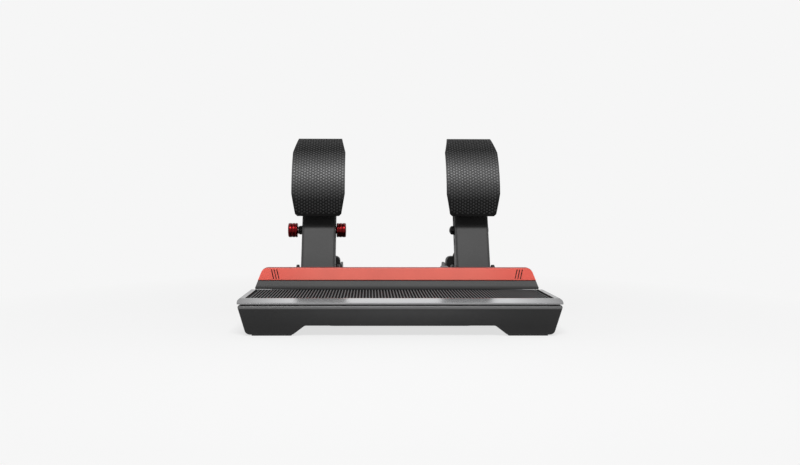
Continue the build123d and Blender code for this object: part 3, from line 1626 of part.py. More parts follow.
with BuildPart() as sockets:
    with BuildSketch(front_plane(box_y + box_length / 2)):
        for number in (-1, 0, 1):
            with Locations((number * socket_pitch, base_top + socket_lift + socket_height / 2)):
                RectangleRounded(socket_width - 2 * run_gap, socket_height - 2 * run_gap, socket_corner - run_gap)
    extrude(amount=socket_depth)
    with BuildSketch(front_plane(box_y + box_length / 2)):
        for number in (-1, 0, 1):
            with Locations((number * socket_pitch, base_top + socket_lift + socket_height / 2)):
                Rectangle(socket_width - 2 * socket_wall, socket_height - 2 * socket_wall)
    extrude(amount=socket_depth - socket_wall, mode=Mode.SUBTRACT)
finish(sockets, "controller_sockets")
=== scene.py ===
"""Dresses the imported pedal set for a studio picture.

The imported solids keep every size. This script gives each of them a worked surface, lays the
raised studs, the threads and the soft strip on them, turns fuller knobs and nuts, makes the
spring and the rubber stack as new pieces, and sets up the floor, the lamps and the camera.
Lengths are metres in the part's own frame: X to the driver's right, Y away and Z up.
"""

import json
import logging
import math
from abc import ABC, abstractmethod
from dataclasses import dataclass, field
from enum import Enum
from typing import Any, ClassVar, Optional, Union

import bpy
import bmesh
import numpy as np
from mathutils import Matrix, Vector

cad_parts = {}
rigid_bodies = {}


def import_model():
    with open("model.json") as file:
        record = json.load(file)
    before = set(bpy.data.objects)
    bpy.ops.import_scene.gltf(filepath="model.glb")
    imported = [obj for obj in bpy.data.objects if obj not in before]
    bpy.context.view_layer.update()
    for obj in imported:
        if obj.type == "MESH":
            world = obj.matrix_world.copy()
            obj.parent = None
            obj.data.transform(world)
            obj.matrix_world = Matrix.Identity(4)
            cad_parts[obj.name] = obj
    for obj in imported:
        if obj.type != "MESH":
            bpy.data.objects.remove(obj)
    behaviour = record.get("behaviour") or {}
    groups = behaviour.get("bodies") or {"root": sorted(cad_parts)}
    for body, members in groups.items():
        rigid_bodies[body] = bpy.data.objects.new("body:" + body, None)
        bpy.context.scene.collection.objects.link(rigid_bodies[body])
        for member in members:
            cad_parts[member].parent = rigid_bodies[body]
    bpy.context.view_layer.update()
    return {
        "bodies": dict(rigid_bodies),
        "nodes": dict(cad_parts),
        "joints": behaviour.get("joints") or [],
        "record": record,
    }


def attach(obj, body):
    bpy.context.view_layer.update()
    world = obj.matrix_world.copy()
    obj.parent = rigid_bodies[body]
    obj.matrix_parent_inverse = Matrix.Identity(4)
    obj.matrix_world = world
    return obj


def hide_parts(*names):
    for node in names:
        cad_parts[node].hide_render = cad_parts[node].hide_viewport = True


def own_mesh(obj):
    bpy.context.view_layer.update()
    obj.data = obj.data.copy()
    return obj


LOG = logging.getLogger("pedal_set")
MM = 0.001
FULL_TURN = 2.0 * math.pi
ROD_DROOP = math.radians(31.0)
ROD_AXIS = (0.0, math.cos(ROD_DROOP), -math.sin(ROD_DROOP))

Point = tuple[float, float, float]
Colour = tuple[float, float, float]
Socket = bpy.types.NodeSocket
Paint = Union[Colour, Socket]
Value = Union[float, "Signal"]
Coats = tuple[tuple[Any, ...], ...]


class Module(Enum):
    """The two pedal modules and the side of the base that each stands on."""

    BRAKE = -1
    THROTTLE = 1

    @property
    def label(self) -> str:
        """The name that the module's nodes start with."""
        return self.name.lower()


# Shader maths


class Signal:
    """A node's output that takes part in sums with numbers and other signals."""

    def __init__(self, bench: "Bench", socket: Socket) -> None:
        """Keeps the socket and the bench that its sums are laid on."""
        self.bench = bench
        self.socket = socket

    def __add__(self, other: Value) -> "Signal":
        """The sum."""
        return self.bench.maths("ADD", self, other)

    def __radd__(self, other: Value) -> "Signal":
        """The sum, with a number first."""
        return self.bench.maths("ADD", other, self)

    def __sub__(self, other: Value) -> "Signal":
        """The difference."""
        return self.bench.maths("SUBTRACT", self, other)

    def __rsub__(self, other: Value) -> "Signal":
        """The difference from a number."""
        return self.bench.maths("SUBTRACT", other, self)

    def __mul__(self, other: Value) -> "Signal":
        """The product."""
        return self.bench.maths("MULTIPLY", self, other)

    def __rmul__(self, other: Value) -> "Signal":
        """The product, with a number first."""
        return self.bench.maths("MULTIPLY", other, self)

    def within(self) -> "Signal":
        """The signal held from 0 to 1."""
        return self.bench.maths("ADD", self, 0.0, clamp=True)

    def above(self, low: float, high: float) -> "Signal":
        """0 below low and 1 above high, with a straight rise between."""
        return ((self - low) * (1.0 / (high - low))).within()

    def about(self, amount: float) -> "Signal":
        """The signal taken from its middle, 0.5, times an amount."""
        return (self - 0.5) * amount


class Bench:
    """Lays out the nodes of one material or world."""

    def __init__(self, tree: bpy.types.NodeTree) -> None:
        """Clears the tree."""
        self.tree = tree
        self.tree.nodes.clear()

    def node(self, kind: str, settings: Optional[dict] = None,
             values: Optional[dict] = None) -> bpy.types.Node:
        """Adds a node.

        Args:
            kind: the node's type.
            settings: its own settings, set before its sockets.
            values: numbers, colours or links for its inputs, by number, identifier or name.

        Returns:
            The node.
        """
        made = self.tree.nodes.new(kind)
        for key, value in (settings or {}).items():
            setattr(made, key, value)
        for key, value in (values or {}).items():
            self.feed(self.socket(made, key), value)
        return made

    @staticmethod
    def socket(made: bpy.types.Node, key: Union[int, str]) -> Socket:
        """An input of a node, by number, identifier or name."""
        named = [found for found in made.inputs if found.identifier == key]
        return named[0] if named else made.inputs[key]

    def feed(self, target: Socket, value: Any) -> None:
        """Links an input, or sets its own value.

        Args:
            target: the input.
            value: a signal or a socket to link, or else a number, a vector or a colour.
        """
        if isinstance(value, Signal):
            value = value.socket
        if isinstance(value, Socket):
            self.tree.links.new(value, target)
        else:
            target.default_value = (*value, 1.0) if target.type == "RGBA" else value

    def signal(self, kind: str, output: Union[int, str], settings: Optional[dict] = None,
               values: Optional[dict] = None) -> Signal:
        """One output of a new node, as a signal."""
        return Signal(self, self.node(kind, settings, values).outputs[output])

    def maths(self, operation: str, first: Value, second: Value = 0.0,
              clamp: bool = False) -> Signal:
        """The result of a Math node, held from 0 to 1 where clamp is set."""
        settings = {"operation": operation, "use_clamp": clamp}
        return self.signal("ShaderNodeMath", 0, settings, {0: first, 1: second})

    def measure(self, operation: str, first: Socket, second: Union[Point, Socket]) -> Signal:
        """The number that a Vector Math node makes of its vectors."""
        settings = {"operation": operation}
        return self.signal("ShaderNodeVectorMath", "Value", settings, {0: first, 1: second})

    def coordinates(self, stretch: Optional[Point] = None) -> Socket:
        """Object coordinates, stretched or as they are.

        Args:
            stretch: a factor along each axis.

        Returns:
            The vector's socket.
        """
        place = self.node("ShaderNodeTexCoord").outputs["Object"]
        if stretch is not None:
            values = {"Vector": place, "Scale": stretch}
            place = self.node("ShaderNodeMapping", values=values).outputs[0]
        return place

    def noise(self, scale: float, detail: float = 2.0, rough: float = 0.5, twist: float = 0.0,
              where: Optional[Socket] = None) -> Signal:
        """A noise from 0 to 1.

        Args:
            scale: how many cells it has to the unit.
            detail: how many finer layers it has.
            rough: how strong the finer layers are.
            twist: how far it bends itself.
            where: the place that it is read at, if not the object's coordinates in metres.

        Returns:
            The noise.
        """
        values = {"Scale": scale, "Detail": detail, "Roughness": rough, "Distortion": twist}
        values["Vector"] = where or self.coordinates()
        return self.signal("ShaderNodeTexNoise", 0, values=values)

    def cells(self, scale: float) -> Signal:
        """The distance from the nearest of scattered points."""
        values = {"Vector": self.coordinates(), "Scale": scale}
        return self.signal("ShaderNodeTexVoronoi", 0, values=values)

    def colours(self, share: Value, first: Paint, second: Paint) -> Socket:
        """Mixes two colours.

        Args:
            share: how much of the second shows.
            first: the colour where the share is 0.
            second: the colour where the share is 1.

        Returns:
            The mixed colour.
        """
        values = {"Factor_Float": share, "A_Color": first, "B_Color": second}
        made = self.node("ShaderNodeMix", {"data_type": "RGBA"}, values)
        return next(found for found in made.outputs if found.identifier == "Result_Color")

    def rounding(self, radius: float) -> tuple[Signal, Socket]:
        """How near a point is to an edge, and a normal that rounds the edge.

        Args:
            radius: the radius of the rounding, in metres.

        Returns:
            A signal that is 0 on a flat and rises at an edge, and the rounded normal.
        """
        soft = self.node("ShaderNodeBevel", {"samples": 6}, {"Radius": radius}).outputs[0]
        plain = self.node("ShaderNodeNewGeometry").outputs["Normal"]
        return (1.0 - self.measure("DOT_PRODUCT", soft, plain)).within(), soft

    def shaders(self, share: Value, first: bpy.types.Node, second: bpy.types.Node) -> Socket:
        """Mixes two shaders: the first where the share is 0, and the second where it is 1."""
        values = {0: share, 1: first.outputs[0], 2: second.outputs[0]}
        return self.node("ShaderNodeMixShader", values=values).outputs[0]

    def bump(self, height: Signal, depth: float, normal: Socket) -> Socket:
        """A normal with relief: heights from 0 to 1 over a depth in metres."""
        values = {"Height": height, "Distance": depth, "Strength": 1.0, "Normal": normal}
        return self.node("ShaderNodeBump", values=values).outputs[0]


# Finishes


def grey(level: float, blue: float = 0.0) -> Colour:
    """A grey, with a little more blue where that is given."""
    return (level, level, level + blue)


def shaded(colour: Colour, factor: float) -> Colour:
    """A colour made darker or lighter by a factor."""
    return tuple(value * factor for value in colour)


@dataclass(frozen=True)
class Band:
    """A part of a surface beyond a plane of the part's frame, with its own colour and gloss.

    The way is 1 past the plane and -1 before it. The band rises to its most over the fade, and
    ends at the reach on both sides of X = 0. A comb above 0 is the pitch across of the lines
    that it keeps to, half a pitch off X = 0.
    """

    axis: str
    start: float
    colour: Colour
    roughness: float
    way: float = 1.0
    fade: float = 0.3 * MM
    reach: float = 1.0
    most: float = 1.0
    comb: float = 0.0
    comb_half: float = 0.45 * MM
    comb_fade: float = 0.25 * MM

    def share(self, bench: Bench) -> Signal:
        """How much of the band shows.

        Args:
            bench: where the nodes are laid.

        Returns:
            0 off the band, and up to its most on it.
        """
        split = bench.node("ShaderNodeSeparateXYZ", values={"Vector": bench.coordinates()})
        along = Signal(bench, split.outputs[self.axis]) * self.way
        across = Signal(bench, split.outputs["X"])
        past = along.above(self.way * self.start, self.way * self.start + self.fade)
        outside = bench.maths("ABSOLUTE", across).above(self.reach, self.reach + self.fade)
        share = (past - outside).within() * self.most
        if self.comb:
            middle = bench.maths("FRACT", across * (1.0 / self.comb)) - 0.5
            off = bench.maths("ABSOLUTE", middle) * self.comb
            share = share * (1.0 - off.above(self.comb_half, self.comb_half + self.comb_fade))
        return share


def towards_ends(start: float, colour: Colour, roughness: float, fade: float,
                 most: float = 1.0) -> tuple[Band, ...]:
    """The same band towards both ends of the set, from a distance on each side of X = 0."""
    return tuple(
        Band("X", way * start, colour, roughness, way=way, fade=fade, most=most)
        for way in (1.0, -1.0)
    )


def rubbed_middle(pale: Colour, roughness: float, dark: Colour) -> tuple[Band, ...]:
    """The bands of a pedal plate: a paler painted highlight over its middle, painted shade towards
    its top.
    """
    return (
        Band("Z", 146.0 * MM, pale, roughness, fade=32.0 * MM, most=0.8),
        Band("Z", 187.0 * MM, dark, 0.5, fade=24.0 * MM),
    )


@dataclass(frozen=True)
class Skin:
    """What a kind of finish works out over a surface, before the bands are laid on it."""

    colour: Socket
    gloss: Signal
    relief: Signal
    worn: Signal


@dataclass(frozen=True)
class Finish(ABC):
    """A surface of the set: its colour, how light leaves it, and how its edges wear."""

    name: str
    slot: str
    colour: Colour
    roughness: float
    metallic: float = 0.0
    specular: float = 0.5
    lacquer: float = 0.0
    lacquer_roughness: float = 0.25
    lacquer_wear: float = 0.3
    relief: float = 0.01 * MM
    edge_radius: float = 0.3 * MM
    edge_colour: Colour = grey(0.05)
    edge_share: float = 0.3
    bands: tuple[Band, ...] = ()

    def material(self) -> bpy.types.Material:
        """The finish as a material, made once.

        Returns:
            The material.
        """
        title = f"{self.name}_finish"
        made = bpy.data.materials.get(title)
        if made is None:
            made = bpy.data.materials.new(title)
            made.use_nodes = True
            made.diffuse_color = (*self.colour, 1.0)
            bench = Bench(made.node_tree)
            shader = bench.node("ShaderNodeBsdfPrincipled", values=self.sockets(bench))
            bench.node("ShaderNodeOutputMaterial", values={"Surface": shader.outputs[0]})
        return made

    def sockets(self, bench: Bench) -> dict[str, Any]:
        """The shader's values: the skin, its rubbed edges and its bands.

        Args:
            bench: where the nodes are laid.

        Returns:
            Values and links by the names of the shader's sockets.
        """
        edge, normal = bench.rounding(self.edge_radius)
        skin = self.skin(bench, edge)
        colour = bench.colours(skin.worn, skin.colour, self.edge_colour)
        gloss = skin.gloss.within()
        for band in self.bands:
            share = band.share(bench)
            colour = bench.colours(share, colour, band.colour)
            gloss = gloss * (1.0 - share) + share * band.roughness
        values = {
            "Base Color": colour,
            "Roughness": gloss,
            "Metallic": self.metallic,
            "Specular IOR Level": self.specular,
            "Normal": bench.bump(skin.relief, self.relief, normal),
        }
        if self.lacquer:
            values["Coat Weight"] = (self.lacquer - skin.worn * self.lacquer_wear).within()
            values["Coat Roughness"] = self.lacquer_roughness
        return values

    def wear(self, edge: Signal, low: float = 0.02, high: float = 0.3,
             patches: Value = 1.0) -> Signal:
        """How rubbed an edge is: it rises from low to high of the edge's signal, in patches."""
        return edge.above(low, high) * patches * self.edge_share

    @abstractmethod
    def skin(self, bench: Bench, edge: Signal) -> Skin:
        """The surface that each kind of finish has.

        Args:
            bench: where the nodes are laid.
            edge: how near an edge is.

        Returns:
            Its colour, gloss, relief and wear.
        """


@dataclass(frozen=True)
class Moulding(Finish):
    """Moulded plastic or rubber: a spark-eroded grain, soft mottling and paler edges."""

    relief: float = 0.05 * MM
    grain: float = 1300.0
    mottle: float = 0.18

    def skin(self, bench: Bench, edge: Signal) -> Skin:
        """Grain on the surface, cloudy colour, and a rubbed line at each edge.

        Args:
            bench: where the nodes are laid.
            edge: how near an edge is.

        Returns:
            Its colour, gloss, relief and wear.
        """
        patches = bench.noise(420.0, detail=3.0).above(0.32, 0.62)
        worn = self.wear(edge, 0.015, 0.25, patches)
        cloud = bench.noise(24.0, detail=4.0, rough=0.6)
        grain = bench.noise(self.grain, rough=0.65)
        pits = bench.cells(self.grain * 0.8)
        light = shaded(self.colour, 1.0 + self.mottle)
        colour = bench.colours(cloud.above(0.3, 0.7), shaded(self.colour, 1.0 - self.mottle), light)
        colour = bench.colours(grain.above(0.35, 0.75) * 0.25, colour, light)
        gloss = cloud.about(0.12) + grain.about(0.14) + self.roughness - worn * 0.12
        return Skin(colour, gloss, grain * 0.6 + pits * 0.4, worn)


@dataclass(frozen=True)
class PowderCoat(Finish):
    """Baked powder on steel: an orange-peel skin that thins and shines at the edges."""

    relief: float = 0.06 * MM
    peel: float = 520.0
    sparkle: float = 0.3

    def skin(self, bench: Bench, edge: Signal) -> Skin:
        """A rippled skin with a finer speckle, cloudy gloss and rubbed edges.

        Args:
            bench: where the nodes are laid.
            edge: how near an edge is.

        Returns:
            Its colour, gloss, relief and wear.
        """
        patches = bench.noise(260.0, detail=4.0, rough=0.6).above(0.42, 0.66)
        worn = self.wear(edge, patches=patches * 0.7 + 0.3)
        ripple = bench.noise(self.peel, rough=0.45)
        speck = bench.noise(self.peel * 3.4, detail=1.0)
        cloud = bench.noise(18.0, detail=3.0, rough=0.55)
        bright = shaded(self.colour, 1.0 + self.sparkle)
        colour = bench.colours(cloud.above(0.3, 0.7), shaded(self.colour, 0.82), self.colour)
        colour = bench.colours(speck.above(0.5, 0.72), colour, bright)
        gloss = cloud.about(0.16) + ripple.about(0.1) + self.roughness - worn * 0.15
        return Skin(colour, gloss, ripple * 0.7 + speck * 0.3, worn)


@dataclass(frozen=True)
class BrushedMetal(Finish):
    """Metal drawn under a belt: long hair lines, a cloudy sheen and bright edges."""

    metallic: float = 1.0
    relief: float = 0.0015 * MM
    stretch: Point = (60.0, 2400.0, 2400.0)
    tint: Colour = (0.9, 0.92, 0.95)

    def skin(self, bench: Bench, edge: Signal) -> Skin:
        """Hair lines in the colour, the gloss and the relief, along one direction.

        Args:
            bench: where the nodes are laid.
            edge: how near an edge is.

        Returns:
            Its colour, gloss, relief and wear.
        """
        lines = bench.noise(1.0, detail=3.0, rough=0.7, where=bench.coordinates(self.stretch))
        broad = bench.noise(1.0, where=bench.coordinates(shaded(self.stretch, 0.3)))
        cloud = bench.noise(14.0, detail=3.0)
        smear = bench.noise(70.0, detail=4.0, rough=0.6, twist=0.4)
        tinted = tuple(own * tint for own, tint in zip(self.colour, self.tint))
        colour = bench.colours(cloud.above(0.3, 0.7) * 0.6, self.colour, tinted)
        colour = bench.colours(lines.above(0.35, 0.7) * 0.35, colour, shaded(self.colour, 0.8))
        gloss = lines.about(0.05) + broad.about(0.04) + smear.about(0.05) + self.roughness
        return Skin(colour, gloss, lines, self.wear(edge))


@dataclass(frozen=True)
class TurnedMetal(Finish):
    """Metal off a lathe: fine rings about an axis, a little oil film and bright edges."""

    metallic: float = 1.0
    relief: float = 0.006 * MM
    axis: Point = (1.0, 0.0, 0.0)
    pitch: float = 0.16 * MM
    wobble: float = 3.0
    stain: Colour = grey(0.5)
    stain_share: float = 0.3

    def skin(self, bench: Bench, edge: Signal) -> Skin:
        """Rings where the tool went round, from the distance along the axis.

        Args:
            bench: where the nodes are laid.
            edge: how near an edge is.

        Returns:
            Its colour, gloss, relief and wear.
        """
        along = bench.measure("DOT_PRODUCT", bench.coordinates(), self.axis)
        turns = along * (FULL_TURN / self.pitch) + bench.noise(160.0) * self.wobble
        rings = bench.maths("SINE", turns) * 0.5 + 0.5
        film = bench.noise(90.0, detail=4.0, rough=0.6, twist=0.6)
        speck = bench.noise(1900.0, detail=1.0)
        colour = bench.colours(film.above(0.48, 0.7) * self.stain_share, self.colour, self.stain)
        gloss = rings.about(0.06) + film.about(0.1) + speck.about(0.06) + self.roughness
        return Skin(colour, gloss, rings * 0.8 + speck * 0.2, self.wear(edge))


@dataclass(frozen=True)
class Painted(Finish):
    """Sprayed paint under a thin lacquer, with dust in it and wear at the edges."""

    lacquer: float = 0.35
    relief: float = 0.025 * MM
    flake: float = 1500.0
    flake_colour: Colour = (0.8, 0.2, 0.15)
    flake_share: float = 0.25

    def skin(self, bench: Bench, edge: Signal) -> Skin:
        """A cloudy colour with a fine flake under a skin that is a little uneven.

        Args:
            bench: where the nodes are laid.
            edge: how near an edge is.

        Returns:
            Its colour, gloss, relief and wear.
        """
        cloud = bench.noise(16.0, detail=3.0)
        flake = bench.noise(self.flake, rough=0.6)
        patches = bench.noise(240.0, detail=4.0).above(0.4, 0.6)
        colour = bench.colours(cloud.above(0.3, 0.7), shaded(self.colour, 0.86), self.colour)
        colour = bench.colours(flake.above(0.42, 0.8) * self.flake_share, colour, self.flake_colour)
        gloss = cloud.about(0.12) + flake.about(0.1) + self.roughness
        relief = bench.noise(300.0) * 0.5 + flake * 0.5
        return Skin(colour, gloss, relief, self.wear(edge, 0.03, 0.3, patches * 0.6 + 0.4))


@dataclass(frozen=True)
class StudRubbed(Finish):
    """Anodised plate whose raised studs are rubbed paler by shoes, read from the studs' height."""

    relief: float = 0.012 * MM
    crown_colour: Colour = grey(0.014, 0.0005)
    crown_roughness: float = 0.34

    def skin(self, bench: Bench, edge: Signal) -> Skin:
        """Dark in the valleys with grit in them, paler and smoother on the crowns.

        Args:
            bench: where the nodes are laid.
            edge: how near an edge is.

        Returns:
            Its colour, gloss, relief and wear.
        """
        height = bench.signal("ShaderNodeAttribute", "Fac", {"attribute_name": "crown"})
        grain = bench.noise(1700.0, rough=0.6)
        patch = bench.noise(46.0, detail=4.0, rough=0.6)
        crown = (height * (patch.above(0.25, 0.7) * 0.5 + 0.5)).within()
        grit = tuple(value * 1.5 + 0.004 for value in self.colour)
        colour = bench.colours(crown, self.colour, self.crown_colour)
        colour = bench.colours((1.0 - height).within() * grain.above(0.5, 0.75) * 0.4, colour, grit)
        gloss = self.roughness - crown * (self.roughness - self.crown_roughness) + grain.about(0.16)
        return Skin(colour, gloss, grain, self.wear(edge, 0.05, 0.4))


SILVER = BrushedMetal(
    "silver_top", "silver", grey(0.66, 0.005), roughness=0.155, edge_colour=grey(0.6, 0.01),
    bands=(
        # darker and rougher below 36.4 mm: painted shade in the groove under the bevel
        Band("Z", 36.4 * MM, grey(0.24, 0.005), 0.55, way=-1.0),
        # near black behind the mat: painted shade where the kick plate shades the rear rim
        Band("Y", -60.5 * MM, grey(0.012), 0.6, reach=167.9 * MM),
        # darker towards both ends: painted shade where the key light falls off
        *towards_ends(118.0 * MM, grey(0.26, 0.004), 0.3, fade=55.0 * MM),
    ),
)
MAT = Moulding(
    "ribbed_mat", "mat", (0.008, 0.0085, 0.009), roughness=0.8, specular=0.06, grain=900.0,
    bands=(
        # pale rib crests: a painted highlight along the tops of the ribs
        Band("Z", 39.48 * MM, (0.155, 0.158, 0.162), 0.7, fade=0.1 * MM, most=0.95, comb=3.5 * MM),
    ),
)
SKIRT = Moulding(
    "moulded_skirt", "skirt", grey(0.026, 0.0005), roughness=0.4, specular=0.32,
    edge_radius=2.4 * MM, edge_colour=grey(0.03), grain=1100.0,
    bands=(
        # darker towards both ends: painted shade where the key light falls off
        *towards_ends(45.0 * MM, grey(0.006, 0.0002), 0.42, fade=95.0 * MM, most=0.8),
        # darker towards the bottom: painted shade under the top light
        Band("Z", 25.0 * MM, grey(0.005, 0.0002), 0.45, way=-1.0, fade=14.0 * MM, most=0.75),
        # pale band along the shoulder: a painted highlight
        Band("Z", 29.2 * MM, grey(0.125, 0.002), 0.3, fade=1.3 * MM, most=0.95),
    ),
)
PAD = Moulding(
    "foot_pad", "foot_rubber", grey(0.018), roughness=0.8, edge_radius=0.4 * MM, grain=700.0,
    relief=0.09 * MM,
)
BLACK_STEEL = PowderCoat(
    "black_steel", "black_steel", grey(0.01, 0.0004), roughness=0.46, specular=0.2,
    edge_radius=0.5 * MM, edge_share=0.4,
)
KICK_STEEL = PowderCoat(
    "kick_steel", "black_steel", grey(0.07), roughness=0.46, edge_colour=grey(0.1),
    bands=(
        # darker below 44.6 mm: painted shade in the crease at the plate's foot
        Band("Z", 44.6 * MM, grey(0.012), 0.7, way=-1.0, fade=2.6 * MM, most=0.9),
        Band("Z", 50.4 * MM, (0.012, 0.005, 0.004), 0.8),
        Band("Z", 64.0 * MM, (0.3, 0.05, 0.04), 0.5),
    ),
)
RED = Painted(
    "red_trim", "red", (0.86, 0.14, 0.096), roughness=0.42, edge_radius=0.35 * MM,
    edge_colour=(0.3, 0.04, 0.035), edge_share=0.6, flake_colour=(0.92, 0.2, 0.145),
    # darker red towards both ends: painted shade where the key light falls off
    bands=towards_ends(95.0 * MM, (0.82, 0.085, 0.055), 0.42, fade=62.0 * MM, most=0.8),
)
ARM_STEEL = PowderCoat(
    "arm_steel", "arm_steel", grey(0.045), roughness=0.55, specular=0.32, edge_radius=0.6 * MM,
    edge_colour=grey(0.1), edge_share=0.4, peel=640.0, relief=0.035 * MM,
    # near black above 109.5 mm: painted shadow of the pedal plate on the arm
    bands=(Band("Z", 109.5 * MM, grey(0.002), 0.8, fade=3.0 * MM),),
)
PLATE = StudRubbed(
    "plate_studs", "plate_black", grey(0.003, 0.0001), roughness=0.54, specular=0.34,
    edge_radius=0.15 * MM, edge_colour=grey(0.03), edge_share=0.2,
    # paler middle: painted highlight; darker band above it: painted shade
    bands=rubbed_middle(grey(0.12, 0.001), 0.36, grey(0.006, 0.0002)),
)
PLATE_BASE = Moulding(
    "plate_back", "plate_black", grey(0.003, 0.0001), roughness=0.48, specular=0.14,
    edge_radius=0.4 * MM, edge_colour=grey(0.02), edge_share=0.4, grain=1500.0,
    # paler middle: painted highlight; darker band above it: painted shade
    relief=0.01 * MM, bands=rubbed_middle(grey(0.085, 0.001), 0.48, grey(0.003, 0.0001)),
)
HOUSING = PowderCoat(
    "housing_cast", "housing_black", grey(0.004, 0.0002), roughness=0.55, specular=0.16,
    edge_radius=0.7 * MM, edge_colour=grey(0.06), edge_share=0.4, peel=900.0, relief=0.1 * MM,
)
KNOB_RED = TurnedMetal(
    "knob_red", "knob_red", (0.12, 0.007, 0.008), roughness=0.28, edge_radius=0.25 * MM,
    edge_colour=(0.2, 0.03, 0.03), relief=0.002 * MM, stain=(0.09, 0.005, 0.006),
    stain_share=0.15,
)
BLACK_SCREWS = TurnedMetal(
    "black_screws", "black_screws", grey(0.004, 0.0001), roughness=0.42, metallic=0.0,
    specular=0.16, edge_colour=grey(0.05, 0.002), stain=(0.01, 0.0095, 0.009), stain_share=0.4,
)
BRIGHT_STEEL = TurnedMetal(
    "bright_steel", "bright_steel", grey(0.58, 0.01), roughness=0.28, edge_colour=grey(0.8),
    edge_share=0.4, stain=(0.4, 0.38, 0.35),
)
BRONZE = TurnedMetal(
    "bronze_bush", "bronze", (0.5, 0.32, 0.14), roughness=0.42, edge_radius=0.2 * MM,
    edge_colour=(0.75, 0.55, 0.3), edge_share=0.4, stain=(0.3, 0.18, 0.08), stain_share=0.5,
)
CUP = TurnedMetal(
    "turned_cup", "cup", (0.6, 0.61, 0.62), roughness=0.34, edge_colour=grey(0.85), edge_share=0.5,
    axis=ROD_AXIS, pitch=0.22 * MM, stain=grey(0.42),
)
ELASTOMER = Moulding(
    "elastomer", "elastomer", (0.6, 0.15, 0.02), roughness=0.5, edge_colour=(0.75, 0.3, 0.1),
    grain=1400.0, relief=0.02 * MM, mottle=0.12,
)
CELL = TurnedMetal(
    "load_cell", "cell", grey(0.52, 0.01), roughness=0.3, edge_colour=grey(0.8), edge_share=0.5,
    axis=ROD_AXIS, stain=grey(0.36, 0.02),
)
SPRING_STEEL = TurnedMetal(
    "spring_wire", "spring_steel", (0.34, 0.35, 0.37), roughness=0.3, edge_radius=0.2 * MM,
    edge_colour=grey(0.5), edge_share=0.2, pitch=0.4 * MM, stain=(0.2, 0.19, 0.18),
    stain_share=0.45,
)
MAGNET = TurnedMetal(
    "magnet_plate", "magnet", (0.72, 0.71, 0.68), roughness=0.16, edge_radius=0.2 * MM,
    edge_colour=grey(0.85), stain=grey(0.55, -0.02), stain_share=0.2,
)
BOX = Moulding(
    "box_plastic", "box_plastic", grey(0.035, 0.003), roughness=0.5, edge_radius=0.5 * MM,
    edge_colour=grey(0.08), edge_share=0.35, grain=1000.0, relief=0.07 * MM,
)
SOCKET = Moulding(
    "socket_plastic", "socket_black", grey(0.014), roughness=0.28, edge_radius=0.2 * MM,
    grain=2200.0, relief=0.01 * MM,
)


# Surfaces


@dataclass(frozen=True)
class Seat:
    """A place with three square directions, on which surfaces are laid."""

    origin: Point
    first: Point
    second: Point
    third: Point

    def lay(self, points: np.ndarray) -> np.ndarray:
        """Points given along the three directions, in the part's frame."""
        return np.asarray(self.origin) + points @ np.array([self.first, self.second, self.third])

    def around(self, along: Union[float, np.ndarray], radius: np.ndarray,
               angle: np.ndarray) -> np.ndarray:
        """Points round the first direction.

        A point is the origin, plus its distance along the first direction, plus its radius
        times the cosine and sine of its angle along the other two.

        Args:
            along: distances along the first direction.
            radius: distances from it.
            angle: angles about it, in radians.

        Returns:
            The three arrays' common shape, by three.
        """
        along, radius, angle = np.broadcast_arrays(along, radius, angle)
        return self.lay(np.stack([along, radius * np.cos(angle), radius * np.sin(angle)], axis=-1))


